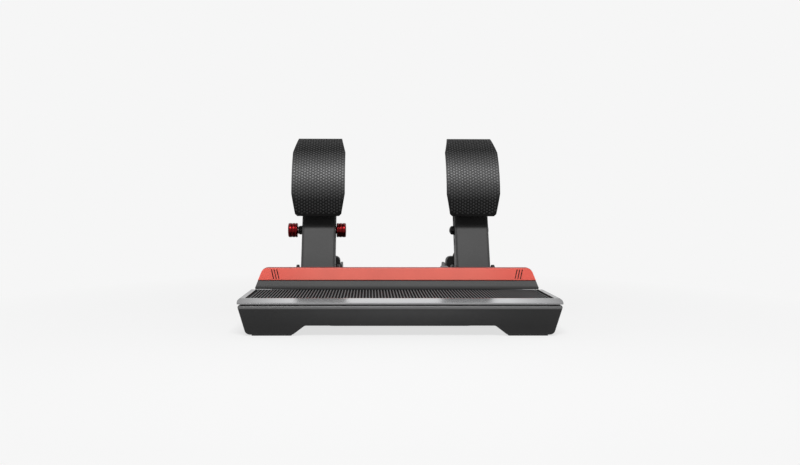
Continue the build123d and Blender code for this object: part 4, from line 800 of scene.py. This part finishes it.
class Sheaf:
    """Collects grids of points and makes one mesh of them."""

    def __init__(self) -> None:
        """Starts empty."""
        self.points: list[np.ndarray] = []
        self.faces: list[np.ndarray] = []
        self.marks: list[np.ndarray] = []
        self.count = 0

    def add(self, points: np.ndarray, faces: np.ndarray,
            marks: Optional[np.ndarray] = None) -> "Sheaf":
        """Adds vertices and their faces.

        Args:
            points: an array whose last side is three.
            faces: rows of four of their numbers.
            marks: a mark from 0 to 1 for each vertex, or else all are 0.

        Returns:
            The sheaf itself.
        """
        flat = points.reshape(-1, 3)
        self.points.append(flat)
        self.faces.append(faces + self.count)
        self.marks.append(np.zeros(len(flat)) if marks is None else marks.reshape(-1))
        self.count += len(flat)
        return self

    def grid(self, points: np.ndarray, around: bool = True) -> "Sheaf":
        """Adds a grid of rows by columns.

        Args:
            points: rows by columns by three.
            around: whether the last column meets the first.

        Returns:
            The sheaf itself.
        """
        rows, columns = points.shape[:2]
        row = np.arange(rows - 1)[:, None] * columns
        column = np.arange(columns if around else columns - 1)[None, :]
        after = (column + 1) % columns
        below = row + columns
        faces = np.stack([row + column, row + after, below + after, below + column], axis=-1)
        return self.add(points, faces.reshape(-1, 4))

    def mesh(self, name: str) -> bpy.types.Mesh:
        """The mesh, with its marks in the attribute crown.

        Args:
            name: the mesh's name.

        Returns:
            The mesh as it was collected, with its doubles still in it.
        """
        made = bpy.data.meshes.new(name)
        points, faces = np.concatenate(self.points), np.concatenate(self.faces)
        made.from_pydata(points.tolist(), [], faces.tolist())
        crown = made.attributes.new("crown", "FLOAT", "POINT")
        crown.data.foreach_set("value", np.concatenate(self.marks).astype(np.float32))
        return made

    def build(self, name: str, finish: Finish, smooth: float = 35.0) -> bpy.types.Object:
        """Makes the object.

        Args:
            name: the piece's name.
            finish: its surface.
            smooth: the angle in degrees past which an edge stays sharp.

        Returns:
            The new object, at the origin, with its doubles merged and its faces outwards.
        """
        mesh = self.mesh(name)
        work = bmesh.new()
        work.from_mesh(mesh)
        bmesh.ops.remove_doubles(work, verts=work.verts, dist=1e-6)
        bmesh.ops.dissolve_degenerate(work, edges=work.edges, dist=1e-7)
        bmesh.ops.recalc_face_normals(work, faces=work.faces)
        work.to_mesh(mesh)
        work.free()
        mesh.shade_smooth()
        mesh.set_sharp_from_angle(angle=math.radians(smooth))
        mesh.materials.append(finish.material())
        made = bpy.data.objects.new(name, mesh)
        bpy.context.scene.collection.objects.link(made)
        LOG.info("%s: %d faces, %s", name, len(mesh.polygons), finish.name)
        return made


def turned_grid(seat: Seat, profile: np.ndarray, columns: int) -> np.ndarray:
    """A profile carried round a seat's first direction.

    Args:
        seat: where it stands.
        profile: rows of distance along the axis and radius.
        columns: how many points go round.

    Returns:
        Rows by columns by three.
    """
    angle = np.linspace(0.0, FULL_TURN, columns, endpoint=False)
    return seat.around(profile[:, :1], profile[:, 1:], angle)


def eased(corners: list[tuple[float, float]], radius: float, steps: int = 4) -> np.ndarray:
    """A line of corners with each inner corner eased by a curve.

    Between two points set back from the corner p by the radius, or by under half of the shorter
    side, the curve is (1-t)^2 a + 2t(1-t) p + t^2 b.

    Args:
        corners: the corners in order.
        radius: how far each corner is cut back.
        steps: how many points each curve has.

    Returns:
        The points in order.
    """
    most_share = 0.45
    line = np.asarray(corners, float)
    before, middle, after = line[:-2], line[1:-1], line[2:]
    back, ahead = before - middle, after - middle
    back_length = np.linalg.norm(back, axis=1, keepdims=True)
    ahead_length = np.linalg.norm(ahead, axis=1, keepdims=True)
    cut = np.minimum(radius, most_share * np.minimum(back_length, ahead_length))
    start = (middle + back / back_length * cut)[:, None, :]
    end = (middle + ahead / ahead_length * cut)[:, None, :]
    share = np.linspace(0.0, 1.0, steps)[None, :, None]
    curve = (1 - share) ** 2 * start + 2 * share * (1 - share) * middle[:, None, :] + share**2 * end
    return np.concatenate([line[:1], curve.reshape(-1, 2), line[-1:]])


def nut_grid(seat: Seat, reach: float, height: float, bore: float, columns: int = 96) -> np.ndarray:
    """A hexagon nut with its corners turned off at both faces.

    The outer radius is the smaller of the hexagon's, which is the flat's distance over the
    cosine of the angle from the flat's middle, and a cone's, which grows from each face.

    Args:
        seat: the nut stands on its origin, along its first direction.
        reach: the distance to a corner.
        height: the nut's height.
        bore: the radius of the hole.
        columns: how many points go round, a multiple of six.

    Returns:
        Rows by columns by three, closed through the bore.
    """
    half_side = math.pi / 6
    cone_depth, cone_slope, cone_rows = 0.22, 1.9, 7
    face_share, bore_bevel = 0.95, 0.12
    angle = np.linspace(0.0, FULL_TURN, columns, endpoint=False)
    flat = reach * math.cos(half_side)
    face = flat * face_share
    from_corner = (angle + half_side) % (2.0 * half_side) - half_side
    hexagon = flat / np.cos(half_side - np.abs(from_corner))
    rises = np.linspace(0.0, cone_depth, cone_rows)
    level = np.concatenate([[0, 0], rises, 1.0 - rises[::-1], [1, 1, 0]]) * height
    cone = face + np.minimum(level, height - level) * cone_slope
    outer = np.minimum(hexagon[None, :], cone[:, None])
    bevel = bore + bore_bevel * (face - bore)
    outer[0], outer[1] = bore, bevel
    outer[-3], outer[-2], outer[-1] = bevel, bore, bore
    return seat.around(level[:, None], outer, angle)


def thread_grid(seat: Seat, start: float, end: float, core: float, pitch: float, depth: float,
                columns: int = 20) -> np.ndarray:
    """A screw thread as a ribbon wound round an axis.

    Along the ribbon the angle grows, and across it a point moves by one pitch, so the distance
    along the axis is the pitch times the turns plus the place across. The radius is the core's
    plus the depth times a ridge that is 0 at the ribbon's sides and fades at the ends.

    Args:
        seat: the axis is its first direction.
        start: where the thread starts.
        end: where it ends.
        core: the radius at the thread's root.
        pitch: the distance between ridges.
        depth: the ridge's height.
        columns: points for each turn.

    Returns:
        Rows along the ribbon by points across it by three.
    """
    count = int(math.ceil((end - start) / pitch)) + 1
    turns = np.linspace(-1.0, count, (count + 1) * columns + 1)[:, None]
    across = np.array([0.0, 0.18, 0.44, 0.56, 0.82, 1.0])
    ridge = np.array([0.0, 0.12, 1.0, 1.0, 0.12, 0.0])
    along = np.clip(start + pitch * (turns + across), start, end)
    fade = np.clip(np.minimum(along - start, end - along) / pitch, 0.0, 1.0)
    return seat.around(along, core + depth * ridge * fade, FULL_TURN * turns)


# Sub-assemblies


@dataclass
class Assembly:
    """What every sub-assembly does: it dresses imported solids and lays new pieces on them.

    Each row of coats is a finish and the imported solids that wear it.
    """

    coats: ClassVar[Coats] = ()
    frame: dict[str, Any]
    made: list[bpy.types.Object] = field(default_factory=list)

    def node(self, name: str) -> str:
        """A node's or body's full name."""
        return name

    def dress(self) -> None:
        """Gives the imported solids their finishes, in all their material slots."""
        for finish, *names in self.coats:
            for name in map(self.node, names):
                for place in self.frame["nodes"][name].material_slots:
                    place.material = finish.material()
                LOG.info("%s dressed as %s", name, finish.name)

    def lay(self) -> None:
        """Lays the new pieces, where a sub-assembly has any."""

    def keep(self, piece: bpy.types.Object, body: str, *stands_for: str) -> None:
        """Lets a new piece ride on a body.

        Args:
            piece: the piece.
            body: the body.
            stands_for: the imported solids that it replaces, if any.
        """
        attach(piece, body)
        if stands_for:
            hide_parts(*stands_for)
        self.made.append(piece)


@dataclass
class HeelRest(Assembly):
    """The heel rest: skirt, silver top, ribbed mat, rubber pads and screws."""

    coats: ClassVar[Coats] = (
        (SILVER, "heel_top"), (MAT, "tread_mat"), (SKIRT, "heel_skirt"), (PAD, "lobe_pads"),
        (BLACK_SCREWS, "heel_screws"),
    )


@dataclass
class KickPlate(Assembly):
    """The upright plate behind the heels with its red trim and the soft strip under it."""

    coats: ClassVar[Coats] = (
        (KICK_STEEL, "kick_plate"), (RED, "kick_trim"), (BLACK_SCREWS, "kick_screws"),
    )
    half_width: float = 169.2 * MM
    strip_y: float = -56.6 * MM
    strip_low: float = 39.85 * MM
    strip_high: float = 41.15 * MM
    strip_depth: float = 1.3
    strip_rows: int = 41
    strip_sides: int = 12

    def lay(self) -> None:
        """The soft strip that closes the gap between the kick plate and the heel rest.

        Its section is a ring of points at the cosine and sine of an angle, times its half depth
        and half height, carried straight along X and drawn in to a point at both ends.
        """
        inset, shoulder = 0.998, 0.7
        inner, ones = np.linspace(-inset, inset, self.strip_rows), np.ones(self.strip_rows)
        share = np.concatenate([[-1.0, -1.0], inner, [1.0, 1.0]])[:, None]
        full = np.concatenate([[0.0, shoulder], ones, [shoulder, 0.0]])[:, None]
        angle = np.linspace(0.0, FULL_TURN, self.strip_sides, endpoint=False)
        half = (self.strip_high - self.strip_low) / 2.0
        section = (
            share * self.half_width,
            self.strip_y + half * self.strip_depth * full * np.cos(angle),
            self.strip_low + half + half * full * np.sin(angle),
        )
        points = np.stack(np.broadcast_arrays(*section), axis=-1)
        self.keep(Sheaf().grid(points).build("kick_soft_strip", PAD), "base")


@dataclass
class Base(Assembly):
    """The steel base plate, its feet and the screws of the frames."""

    coats: ClassVar[Coats] = (
        (BLACK_STEEL, "base_plate"), (PAD, "rear_feet"),
        (BLACK_SCREWS, "frame_screws", "frame_nuts"),
    )


@dataclass
class Controller(Assembly):
    """The controller's box between the modules."""

    coats: ClassVar[Coats] = (
        (BOX, "controller_box", "controller_lid"), (BLACK_SCREWS, "controller_screws"),
        (SOCKET, "controller_sockets"),
    )


@dataclass
class PedalModule(Assembly):
    """One pedal: frame, axle, arm, bracket, plate, push rod and rear housing.

    The outline gives the plate's half width at each height, and stud_rings the radius of a
    stud's rings and their share of its height, with lengths in millimetres in both. The names
    in coats follow the module's label.
    """

    coats: ClassVar[Coats] = (
        (BLACK_STEEL, "frame", "plate_bracket"), (BRIGHT_STEEL, "axle", "axle_clip", "push_rod"),
        (BRONZE, "bushes"), (ARM_STEEL, "arm"), (PLATE_BASE, "pedal_plate"),
        (BLACK_SCREWS, "plate_screws", "housing_bolts", "cap_nut"),
        (CUP, "pin_spacers", "front_cup"), (HOUSING, "rear_housing"),
    )
    module: Module = Module.BRAKE
    module_x: float = 98.1 * MM
    front_y: float = -155.0 * MM
    pivot_depth: float = 157.1 * MM
    pivot_height: float = 50.3 * MM
    arm_lean: float = math.radians(20.0)
    pin_reach: float = 60.7 * MM
    rod_radius: float = 4.0 * MM
    thread_spans: tuple[tuple[float, float], ...] = (
        (12.0 * MM, 28.5 * MM), (112.2 * MM, 122.2 * MM),
    )
    thread_pitch: float = 1.25 * MM
    thread_depth: float = 0.3 * MM
    thread_lift: float = 0.02 * MM
    nut_start: float = 20.0 * MM
    nut_height: float = 6.0 * MM
    nut_radius: float = 8.0 * MM
    stop_start: float = 112.3 * MM
    run_gap: float = 0.05 * MM
    plate_radius: float = 86.0 * MM
    plate_centre_depth: float = 235.0 * MM
    plate_centre_height: float = 149.8 * MM
    outline: tuple[tuple[float, float], ...] = (
        (126.0, 26.3), (128.7, 29.2), (154.3, 33.7), (207.9, 33.7), (227.6, 28.5),
    )
    stud_pitch: float = 3.95 * MM
    stud_rings: tuple[tuple[float, float], ...] = (
        (1.58, -0.05), (1.4852, 0.4), (1.3312, 0.93), (1.0496, 1.0),
    )
    stud_height: float = 0.6 * MM
    stud_dome: float = 1.02
    stud_margin: float = 2.5 * MM

    @property
    def x(self) -> float:
        """The module's centre."""
        return self.module.value * self.module_x

    @property
    def rod_body(self) -> str:
        """The body that the push rod rides on."""
        return self.node("rod_assembly")

    def node(self, name: str) -> str:
        """A node's or body's full name, after the module's."""
        return f"{self.module.label}_{name}"

    def pin(self) -> tuple[float, float]:
        """Y and Z of the cross pin."""
        y = self.front_y + self.pivot_depth + self.pin_reach * math.sin(self.arm_lean)
        return y, self.pivot_height + self.pin_reach * math.cos(self.arm_lean)

    def rod_seat(self, reach: float = 0.0) -> Seat:
        """The push rod's axis at a reach from the cross pin, with X as the second direction.

        Args:
            reach: the distance along the rod.

        Returns:
            The seat.
        """
        y, z = self.pin()
        _, level, rise = ROD_AXIS
        origin = (self.x, y + reach * level, z + reach * rise)
        return Seat(origin, ROD_AXIS, (1.0, 0.0, 0.0), (0.0, -rise, level))

    def stud_places(self) -> tuple[np.ndarray, np.ndarray]:
        """Where the studs stand on the plate.

        A stud stands at column times the pitch times the sine of 60 degrees across, and row
        times the pitch along the arc, with every other column half a pitch on. Those inside
        the outline by the margin are kept.

        Returns:
            Each stud's distance across the plate, and along its arc from the centre's height.
        """
        heights, halves = np.array(self.outline).T * MM
        rise = (heights - self.plate_centre_height) / self.plate_radius
        arc = np.arcsin(rise) * self.plate_radius
        step = self.stud_pitch * math.sin(math.radians(60))
        half_count = int(halves.max() / step) + 1
        row_count = int((arc[-1] - arc[0]) / self.stud_pitch) + 2
        column, row = np.mgrid[-half_count:half_count + 1, 0:row_count]
        side = column * step
        along = arc[0] + (row + 0.5 * (column % 2)) * self.stud_pitch
        height = self.plate_centre_height + self.plate_radius * np.sin(along / self.plate_radius)
        kept = np.abs(side) < np.interp(height, heights, halves) - self.stud_margin
        kept &= (along > arc[0] + self.stud_margin) & (along < arc[-1] - self.stud_margin)
        return side[kept], along[kept]

    def stud_form(self) -> tuple[np.ndarray, np.ndarray]:
        """One stud: hexagon rings that narrow upwards, and a point in the middle of the top.

        A corner is its ring's radius times the cosine and sine of its angle, at the ring's
        share of the stud's height.

        Returns:
            Its points, as distances across, along and up, and its faces.
        """
        sides = 6
        radius, share = np.array(self.stud_rings).T[:, :, None]
        corner = np.arange(sides) * FULL_TURN / sides
        rings = np.stack(np.broadcast_arrays(
            radius * MM * np.cos(corner), radius * MM * np.sin(corner), share * self.stud_height
        ), axis=-1).reshape(-1, 3)
        points = np.concatenate([rings, [[0.0, 0.0, self.stud_height * self.stud_dome]]])
        base = np.arange(sides)
        after = (base + 1) % sides
        low = np.arange(len(self.stud_rings) - 1)[:, None] * sides
        high = low + sides
        walls = np.stack([low + base, low + after, high + after, high + base], axis=-1)
        tip = np.full(sides, len(rings))
        top = np.stack([high[-1] + base, high[-1] + after, tip, tip], axis=-1)
        foot = np.array([[0, 5, 4, 3], [0, 3, 2, 1]])
        return points, np.concatenate([walls.reshape(-1, 4), top, foot])

    def studs(self) -> None:
        """The raised hexagon studs on the plate's face.

        A point's angle is its distance along the arc over the arc's radius, and the point lies
        at that angle on the cylinder, raised along its radius. Its mark is its share of the
        stud's height.
        """
        side, along = self.stud_places()
        form, faces = self.stud_form()
        angle = (along[:, None] + form[:, 1]) / self.plate_radius
        reach = self.plate_radius + form[:, 2]
        points = np.stack([
            self.x + side[:, None] + form[:, 0],
            self.front_y + self.plate_centre_depth - reach * np.cos(angle),
            self.plate_centre_height + reach * np.sin(angle),
        ], axis=-1)
        offset = np.arange(len(side))[:, None, None] * len(form)
        crown = np.tile(np.clip(form[:, 2] / self.stud_height, 0.0, 1.0), len(side))
        sheaf = Sheaf().add(points, (faces + offset).reshape(-1, 4), crown)
        piece = sheaf.build(self.node("plate_studs_raised"), PLATE, smooth=28.0)
        self.keep(piece, self.node("arm_assembly"))

    def threads(self) -> None:
        """The threads at both ends of the push rod, each closed by an inner wall."""
        seat = self.rod_seat()
        core = self.rod_radius + self.thread_lift
        inner = core - self.thread_depth
        sheaf = Sheaf()
        for start, end in self.thread_spans:
            ribbon = thread_grid(seat, start, end, core, self.thread_pitch, self.thread_depth)
            sheaf.grid(ribbon, around=False)
            wall = np.array([[start, core], [start, inner], [end, inner], [end, core]])
            sheaf.grid(turned_grid(seat, wall, columns=20))
        piece = sheaf.build(self.node("rod_thread"), BRIGHT_STEEL, smooth=50.0)
        self.keep(piece, self.rod_body)

    def nuts(self) -> None:
        """The preload nut and the stop nut, with turned corners."""
        for name, reach in (("preload_nut", self.nut_start), ("stop_nut", self.stop_start)):
            bore = self.rod_radius + self.run_gap
            grid = nut_grid(self.rod_seat(reach), self.nut_radius, self.nut_height, bore)
            sheaf = Sheaf().grid(grid)
            piece = sheaf.build(self.node(name + "_turned"), BRIGHT_STEEL, smooth=25.0)
            self.keep(piece, self.rod_body, self.node(name))

    def lay(self) -> None:
        """Lays the pieces that both modules have."""
        self.studs()
        self.threads()
        self.nuts()


@dataclass
class BrakeModule(PedalModule):
    """The brake, with its rubber stack, load cell and two thumb knobs.

    Each row of disc_rim is a corner of a disc's face: how far it is past the gap between the
    discs, in millimetres, and how far inside the disc's radius, in eases. Each row of knob_end
    is a corner of the knobs' outer end: how far back from the end it is, in millimetres, its
    share of the knob's radius, and how much less than that, in millimetres.
    """

    coats: ClassVar[Coats] = (
        *PedalModule.coats, (BRIGHT_STEEL, "cross_pin"), (CELL, "load_cell"),
    )
    module: Module = Module.BRAKE
    disc_count: int = 4
    disc_radius: float = 11.8 * MM
    disc_bulge: float = 1.3 * MM
    disc_seam: float = 0.16 * MM
    disc_drop: float = 0.6 * MM
    disc_ease: float = 0.5 * MM
    disc_gap: float = 0.02 * MM
    disc_bore: float = 4.8 * MM
    disc_waist: float = 0.05 * MM
    disc_rim: tuple[tuple[float, float], ...] = ((0.0, 2.6), (0.0, 1.8), (0.1, 1.2))
    disc_rows: int = 21
    stack_start: float = 29.0 * MM
    stack_end: float = 74.0 * MM
    travel: float = 9.1 * MM
    sway: float = 0.0805
    knob_radius: float = 9.2 * MM
    knob_length: float = 12.0 * MM
    knob_neck: float = 0.8 * MM
    knob_wall: float = 2.0 * MM
    knob_chamfer: float = 0.7 * MM
    knob_end: tuple[Point, ...] = (
        (1.2, 1.0, 0.0), (0.3, 1.0, 0.5), (0.0, 1.0, 1.3), (0.0, 0.62, 0.0), (0.5, 0.58, 0.0),
        (0.5, 0.16, 0.0), (0.8, 0.0, 0.0),
    )
    knob_grooves: tuple[float, ...] = (0.25, 0.6)
    groove_mouth: float = 0.6 * MM
    groove_floor: float = 0.35 * MM
    groove_depth: float = 0.5 * MM
    outer_start: float = 27.1 * MM
    inner_start: float = 21.7 * MM
    pin_radius: float = 4.0 * MM

    def disc_profile(self, length: float) -> np.ndarray:
        """The closed line that a rubber disc is turned from.

        Its outer radius is the disc's, plus the bulge times 1 minus the square of the place
        from the middle, plus a moulding line half way, less a drop towards both rims that
        leaves room for the cup's lip.

        Args:
            length: how long the disc is along the push rod.

        Returns:
            Rows of distance along the axis and radius.
        """
        rim, shoulder, seam_width = 0.94, 0.5, 0.05
        bore, edge, ease, gap = self.disc_bore, self.disc_radius, self.disc_ease, self.disc_gap
        share = np.linspace(-rim, rim, self.disc_rows)
        crown = edge + self.disc_bulge * (1.0 - share**2)
        crown += self.disc_seam * np.exp(-((share / seam_width) ** 2))
        past = np.clip(np.abs(share) - shoulder, 0.0, None) / (rim - shoulder)
        crown -= self.disc_drop * past**2
        before = np.array([
            [length * 0.5, bore - self.disc_waist],
            [ease, bore],
            [gap, bore + ease],
            *([gap + past_gap * MM, edge - eases * ease] for past_gap, eases in self.disc_rim),
        ])
        after = before[::-1] * np.array([-1.0, 1.0]) + np.array([length, 0.0])
        outer = np.stack([(share + 1.0) / 2.0 * length, crown], axis=-1)
        return np.concatenate([before, outer, after[:-1], before[:1]])

    def stack(self) -> None:
        """The rubber discs, turned about the push rod.
        """
        length = (self.stack_end - self.stack_start) / self.disc_count
        profile = self.disc_profile(length)
        sheaf = Sheaf()
        for number in range(self.disc_count):
            seat = self.rod_seat(self.stack_start + number * length)
            sheaf.grid(turned_grid(seat, profile, columns=72))
        piece = sheaf.build("brake_rubber_stack", ELASTOMER, smooth=40.0)
        self.keep(piece, "base", "brake_elastomers")
        anchor = self.rod_seat(self.stack_end)
        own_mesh(piece)

    def knob(self, name: str, start: float, sign: int, body: str) -> None:
        """A thumb knob, turned about the cross pin, with grooves round it and a dished end.

        Its profile is a line of corners, each eased: from the middle of the dished end's inner
        side along the bore, over the inner face and the grooves, to the middle of the end.

        Args:
            name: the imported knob's name.
            start: the distance of its inner face from the arm's centre.
            sign: -1 on the left, 1 on the right.
            body: the body that it rides on.
        """
        radius, neck, end = self.knob_radius, self.knob_neck, self.knob_neck + self.knob_length
        bore, deep = self.pin_radius + self.run_gap, end - self.knob_wall
        corners = [
            (deep, 0.0), (deep, bore), (0.0, bore), (0.0, radius / 2), (neck, radius / 2),
            (neck, radius - self.knob_chamfer), (neck + self.knob_chamfer, radius),
        ]
        for share in self.knob_grooves:
            middle, floor = neck + self.knob_length * share, radius - self.groove_depth
            corners += [
                (middle - self.groove_mouth, radius), (middle - self.groove_floor, floor),
                (middle + self.groove_floor, floor), (middle + self.groove_mouth, radius),
            ]
        corners += [
            (end - back * MM, radius * share - less * MM) for back, share, less in self.knob_end
        ]
        y, z = self.pin()
        origin = (self.x + sign * start, y, z)
        outwards = (float(sign), 0.0, 0.0)
        seat = Seat(origin, outwards, second=(0.0, 1.0, 0.0), third=(0.0, 0.0, 1.0))
        grid = turned_grid(seat, eased(corners, radius=0.3 * MM), columns=120)
        self.keep(Sheaf().grid(grid).build(name + "_turned", KNOB_RED, smooth=30.0), body, name)

    def lay(self) -> None:
        """Lays the brake's new pieces."""
        super().lay()
        self.stack()
        self.knob("brake_knob_outer", self.outer_start, -1, "outer_knob")
        self.knob("brake_knob_inner", self.inner_start, 1, "inner_knob")


@dataclass
class ThrottleModule(PedalModule):
    """The throttle, with its coil spring, its magnet and its sensor."""

    coats: ClassVar[Coats] = (
        *PedalModule.coats, (BLACK_SCREWS, "cross_pin"), (CUP, "rear_cup"), (MAGNET, "magnet"),
        (BOX, "sensor"),
    )
    module: Module = Module.THROTTLE
    wire: float = 1.2 * MM
    wire_sides: int = 14
    wire_tip: float = 0.7
    coil_radius: float = 9.0 * MM
    turns: float = 6.5
    turn_steps: int = 48
    end_pitch: float = 3.0 * MM
    coil_start: float = 30.5 * MM
    coil_end: float = 76.5 * MM
    spring_from: float = 29.0 * MM
    spring_to: float = 78.0 * MM
    travel: float = 19.0 * MM

    def spring(self) -> None:
        """The coil spring, as a round wire carried along a helix with close end turns.

        The helix's point is its radius times the cosine and sine of the angle, and a rise that
        grows by the end pitch in the first and last turn and by the open pitch between. The
        wire's circle stands square to the helix's direction there, and is drawn in to a point
        at both ends.
        """
        radius, start, end = self.coil_radius, self.coil_start, self.coil_end
        last_turn = self.turns - 1.0
        turn = np.linspace(0.0, self.turns, int(self.turns * self.turn_steps) + 1)
        open_pitch = (end - start - 2 * self.end_pitch) / (self.turns - 2.0)
        rises = [start, start + self.end_pitch, end - self.end_pitch, end]
        rise = np.interp(turn, [0.0, 1.0, last_turn, self.turns], rises)
        pitch = np.where((turn < 1.0) | (turn > last_turn), self.end_pitch, open_pitch)
        cosine, sine = np.cos(FULL_TURN * turn), np.sin(FULL_TURN * turn)
        centre = np.stack([rise, radius * cosine, radius * sine], axis=-1)
        out = np.stack([0.0 * turn, cosine, sine], axis=-1)
        along = np.stack([pitch / (FULL_TURN * radius), -sine, cosine], axis=-1)
        along /= np.linalg.norm(along, axis=1, keepdims=True)
        ring = np.linspace(0.0, FULL_TURN, self.wire_sides, endpoint=False)[None, :, None]
        circle = out[:, None] * np.cos(ring) + np.cross(along, out)[:, None] * np.sin(ring)
        centre = centre[:, None]
        tips = np.array([0.0, self.wire_tip])[:, None, None] * self.wire
        grid = np.concatenate([
            centre[:1] + tips * circle[:1],
            centre + self.wire * circle,
            centre[-1:] + tips[::-1] * circle[-1:],
        ])
        sheaf = Sheaf().grid(self.rod_seat().lay(grid))
        piece = sheaf.build("throttle_coil", SPRING_STEEL, smooth=50.0)
        self.keep(piece, "base", "throttle_spring")
        anchor = self.rod_seat(self.spring_to)
        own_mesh(piece)

    def lay(self) -> None:
        """Lays the throttle's new pieces."""
        super().lay()
        self.spring()


# Studio


@dataclass(frozen=True)
class Lamp:
    """A soft rectangular lamp: its place, its size, its power in watts, and where it aims."""

    name: str
    place: Point
    size: tuple[float, float]
    power: float
    aim: Point = (0.0, 0.0, 0.1)

    def hang(self) -> None:
        """Puts the lamp into the scene."""
        data = bpy.data.lights.new(self.name, "AREA")
        data.shape = "RECTANGLE"
        data.size, data.size_y = self.size
        data.energy = self.power
        made = bpy.data.objects.new(self.name, data)
        made.location = self.place
        facing = Vector(self.aim) - Vector(self.place)
        made.rotation_euler = facing.to_track_quat("-Z", "Y").to_euler()
        bpy.context.scene.collection.objects.link(made)


@dataclass
class Studio:
    """The pale floor, the lamps and the camera."""

    backdrop: Colour = grey(0.9216)
    near_glow: Colour = grey(0.945)
    paper: tuple[Colour, Colour] = (grey(0.9), grey(0.84))
    ambient: float = 0.22
    floor_rings: tuple[float, ...] = (0.0, 0.2, 0.5, 1.0, 2.0, 12.0)
    floor_columns: int = 48
    floor_level: float = -0.2 * MM
    fade_span: tuple[float, float] = (0.24, 0.62)
    glow_share: float = 0.75
    image: tuple[int, int] = (800, 465)
    focal_pixels: float = 769.0
    centre_pixel: tuple[float, float] = (378.018, 201.999)
    sensor: float = 36.0
    eye: Point = (-0.033774, -0.975, 0.143957)
    yaw: float = 0.01164
    roll: float = 0.00172
    lamps: tuple[Lamp, ...] = (
        Lamp("key", (0.0, -0.97, 1.12), (0.6, 0.42), 15.0, aim=(0.0, 0.0, 0.12)),
        Lamp("overhead", (0.0, 0.55, 1.9), (1.2, 0.8), 2.5),
        Lamp("behind_left", (-1.3, 0.95, 0.75), (0.7, 0.6), 3.0),
        Lamp("behind_right", (1.3, 0.95, 0.75), (0.7, 0.6), 3.0),
    )

    @staticmethod
    def seen(bench: Bench) -> Signal:
        """Picks the rays that show the surroundings: straight, mirrored or through glass.

        Args:
            bench: where the nodes are laid.

        Returns:
            1 for those rays, and 0 for the rest.
        """
        path = bench.node("ShaderNodeLightPath")
        rays = ("Is Glossy Ray", "Is Transmission Ray", "Is Camera Ray")
        mirrored, through, straight = [Signal(bench, path.outputs[ray]) for ray in rays]
        return (straight + (mirrored + through)).within()

    def world(self) -> None:
        """Pale surroundings, dimmer for the light that they cast."""
        world = bpy.data.worlds.new("surroundings")
        world.use_nodes = True
        bpy.context.scene.world = world
        bench = Bench(world.node_tree)
        shown = bench.node("ShaderNodeBackground", values={"Color": self.backdrop, "Strength": 1.0})
        light = {"Color": grey(1.0), "Strength": self.ambient}
        cast = bench.node("ShaderNodeBackground", values=light)
        both = bench.shaders(self.seen(bench), cast, shown)
        bench.node("ShaderNodeOutputWorld", values={"Surface": both})

    def floor_material(self) -> bpy.types.Material:
        """Matt paper near the set, which glows like the surroundings further away.

        Returns:
            The material.
        """
        made = bpy.data.materials.new("pale_floor")
        made.use_nodes = True
        bench = Bench(made.node_tree)
        tone = bench.colours(bench.noise(900.0) * 0.04, *self.paper)
        matt = bench.node("ShaderNodeBsdfDiffuse", values={"Color": tone})
        away = bench.measure("LENGTH", bench.coordinates(), (0.0, 0.0, 0.0))
        far = away.above(*self.fade_span)
        glow = bench.colours(far, self.near_glow, self.backdrop)
        pale = bench.node("ShaderNodeEmission", values={"Color": glow, "Strength": 1.0})
        share = ((far * (1.0 - self.glow_share) + self.glow_share) * self.seen(bench)).within()
        bench.node("ShaderNodeOutputMaterial", values={"Surface": bench.shaders(share, matt, pale)})
        return made

    def floor(self) -> None:
        """A pale floor that fades into the surroundings away from the set.

        It is a grid of rings: a point is the ring's radius times the cosine and sine of the
        angle, which runs backwards so that the floor faces up.
        """
        angle = np.linspace(FULL_TURN, 0.0, self.floor_columns, endpoint=False)
        radius = np.array(self.floor_rings)[:, None]
        centre = (0.0, 0.0, self.floor_level)
        seat = Seat(centre, first=(0.0, 0.0, 1.0), second=(1.0, 0.0, 0.0), third=(0.0, 1.0, 0.0))
        mesh = Sheaf().grid(seat.around(0.0, radius, angle)).mesh("floor")
        mesh.materials.append(self.floor_material())
        floor = bpy.data.objects.new("floor", mesh)
        bpy.context.scene.collection.objects.link(floor)

    def camera(self) -> None:
        """The camera that the photograph was taken with, as it was worked out.

        The lens is the focal length in pixels times the sensor's width over the image's, and
        the shift is what keeps the uprights upright with the object low in the frame.
        """
        width, height = self.image
        data = bpy.data.cameras.new("view")
        data.sensor_fit = "HORIZONTAL"
        data.sensor_width = self.sensor
        data.lens = self.focal_pixels * self.sensor / width
        data.shift_x = (width / 2 - self.centre_pixel[0]) / width
        data.shift_y = (self.centre_pixel[1] - height / 2) / width
        data.clip_start, data.clip_end = 0.01, 100.0
        made = bpy.data.objects.new("view", data)
        made.matrix_world = (
            Matrix.Translation(self.eye)
            @ Matrix.Rotation(-self.yaw, 4, "Z")
            @ Matrix.Rotation(math.radians(90.0), 4, "X")
            @ Matrix.Rotation(self.roll, 4, "Z")
        )
        bpy.context.scene.collection.objects.link(made)
        bpy.context.scene.camera = made

    def build(self) -> None:
        """Sets up the studio."""
        bpy.context.scene.view_settings.view_transform = "Standard"
        self.world()
        self.floor()
        for lamp in self.lamps:
            lamp.hang()
        self.camera()


def main() -> None:
    """Builds each sub-assembly in order, then the studio."""
    logging.basicConfig(level=logging.INFO, format="%(name)s: %(message)s")
    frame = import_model()
    for kind in (HeelRest, KickPlate, Base, Controller, BrakeModule, ThrottleModule):
        assembly = kind(frame)
        assembly.dress()
        assembly.lay()
        LOG.info("%s: %d new pieces", kind.__name__, len(assembly.made))
    Studio().build()


if __name__ == "__main__":
    main()
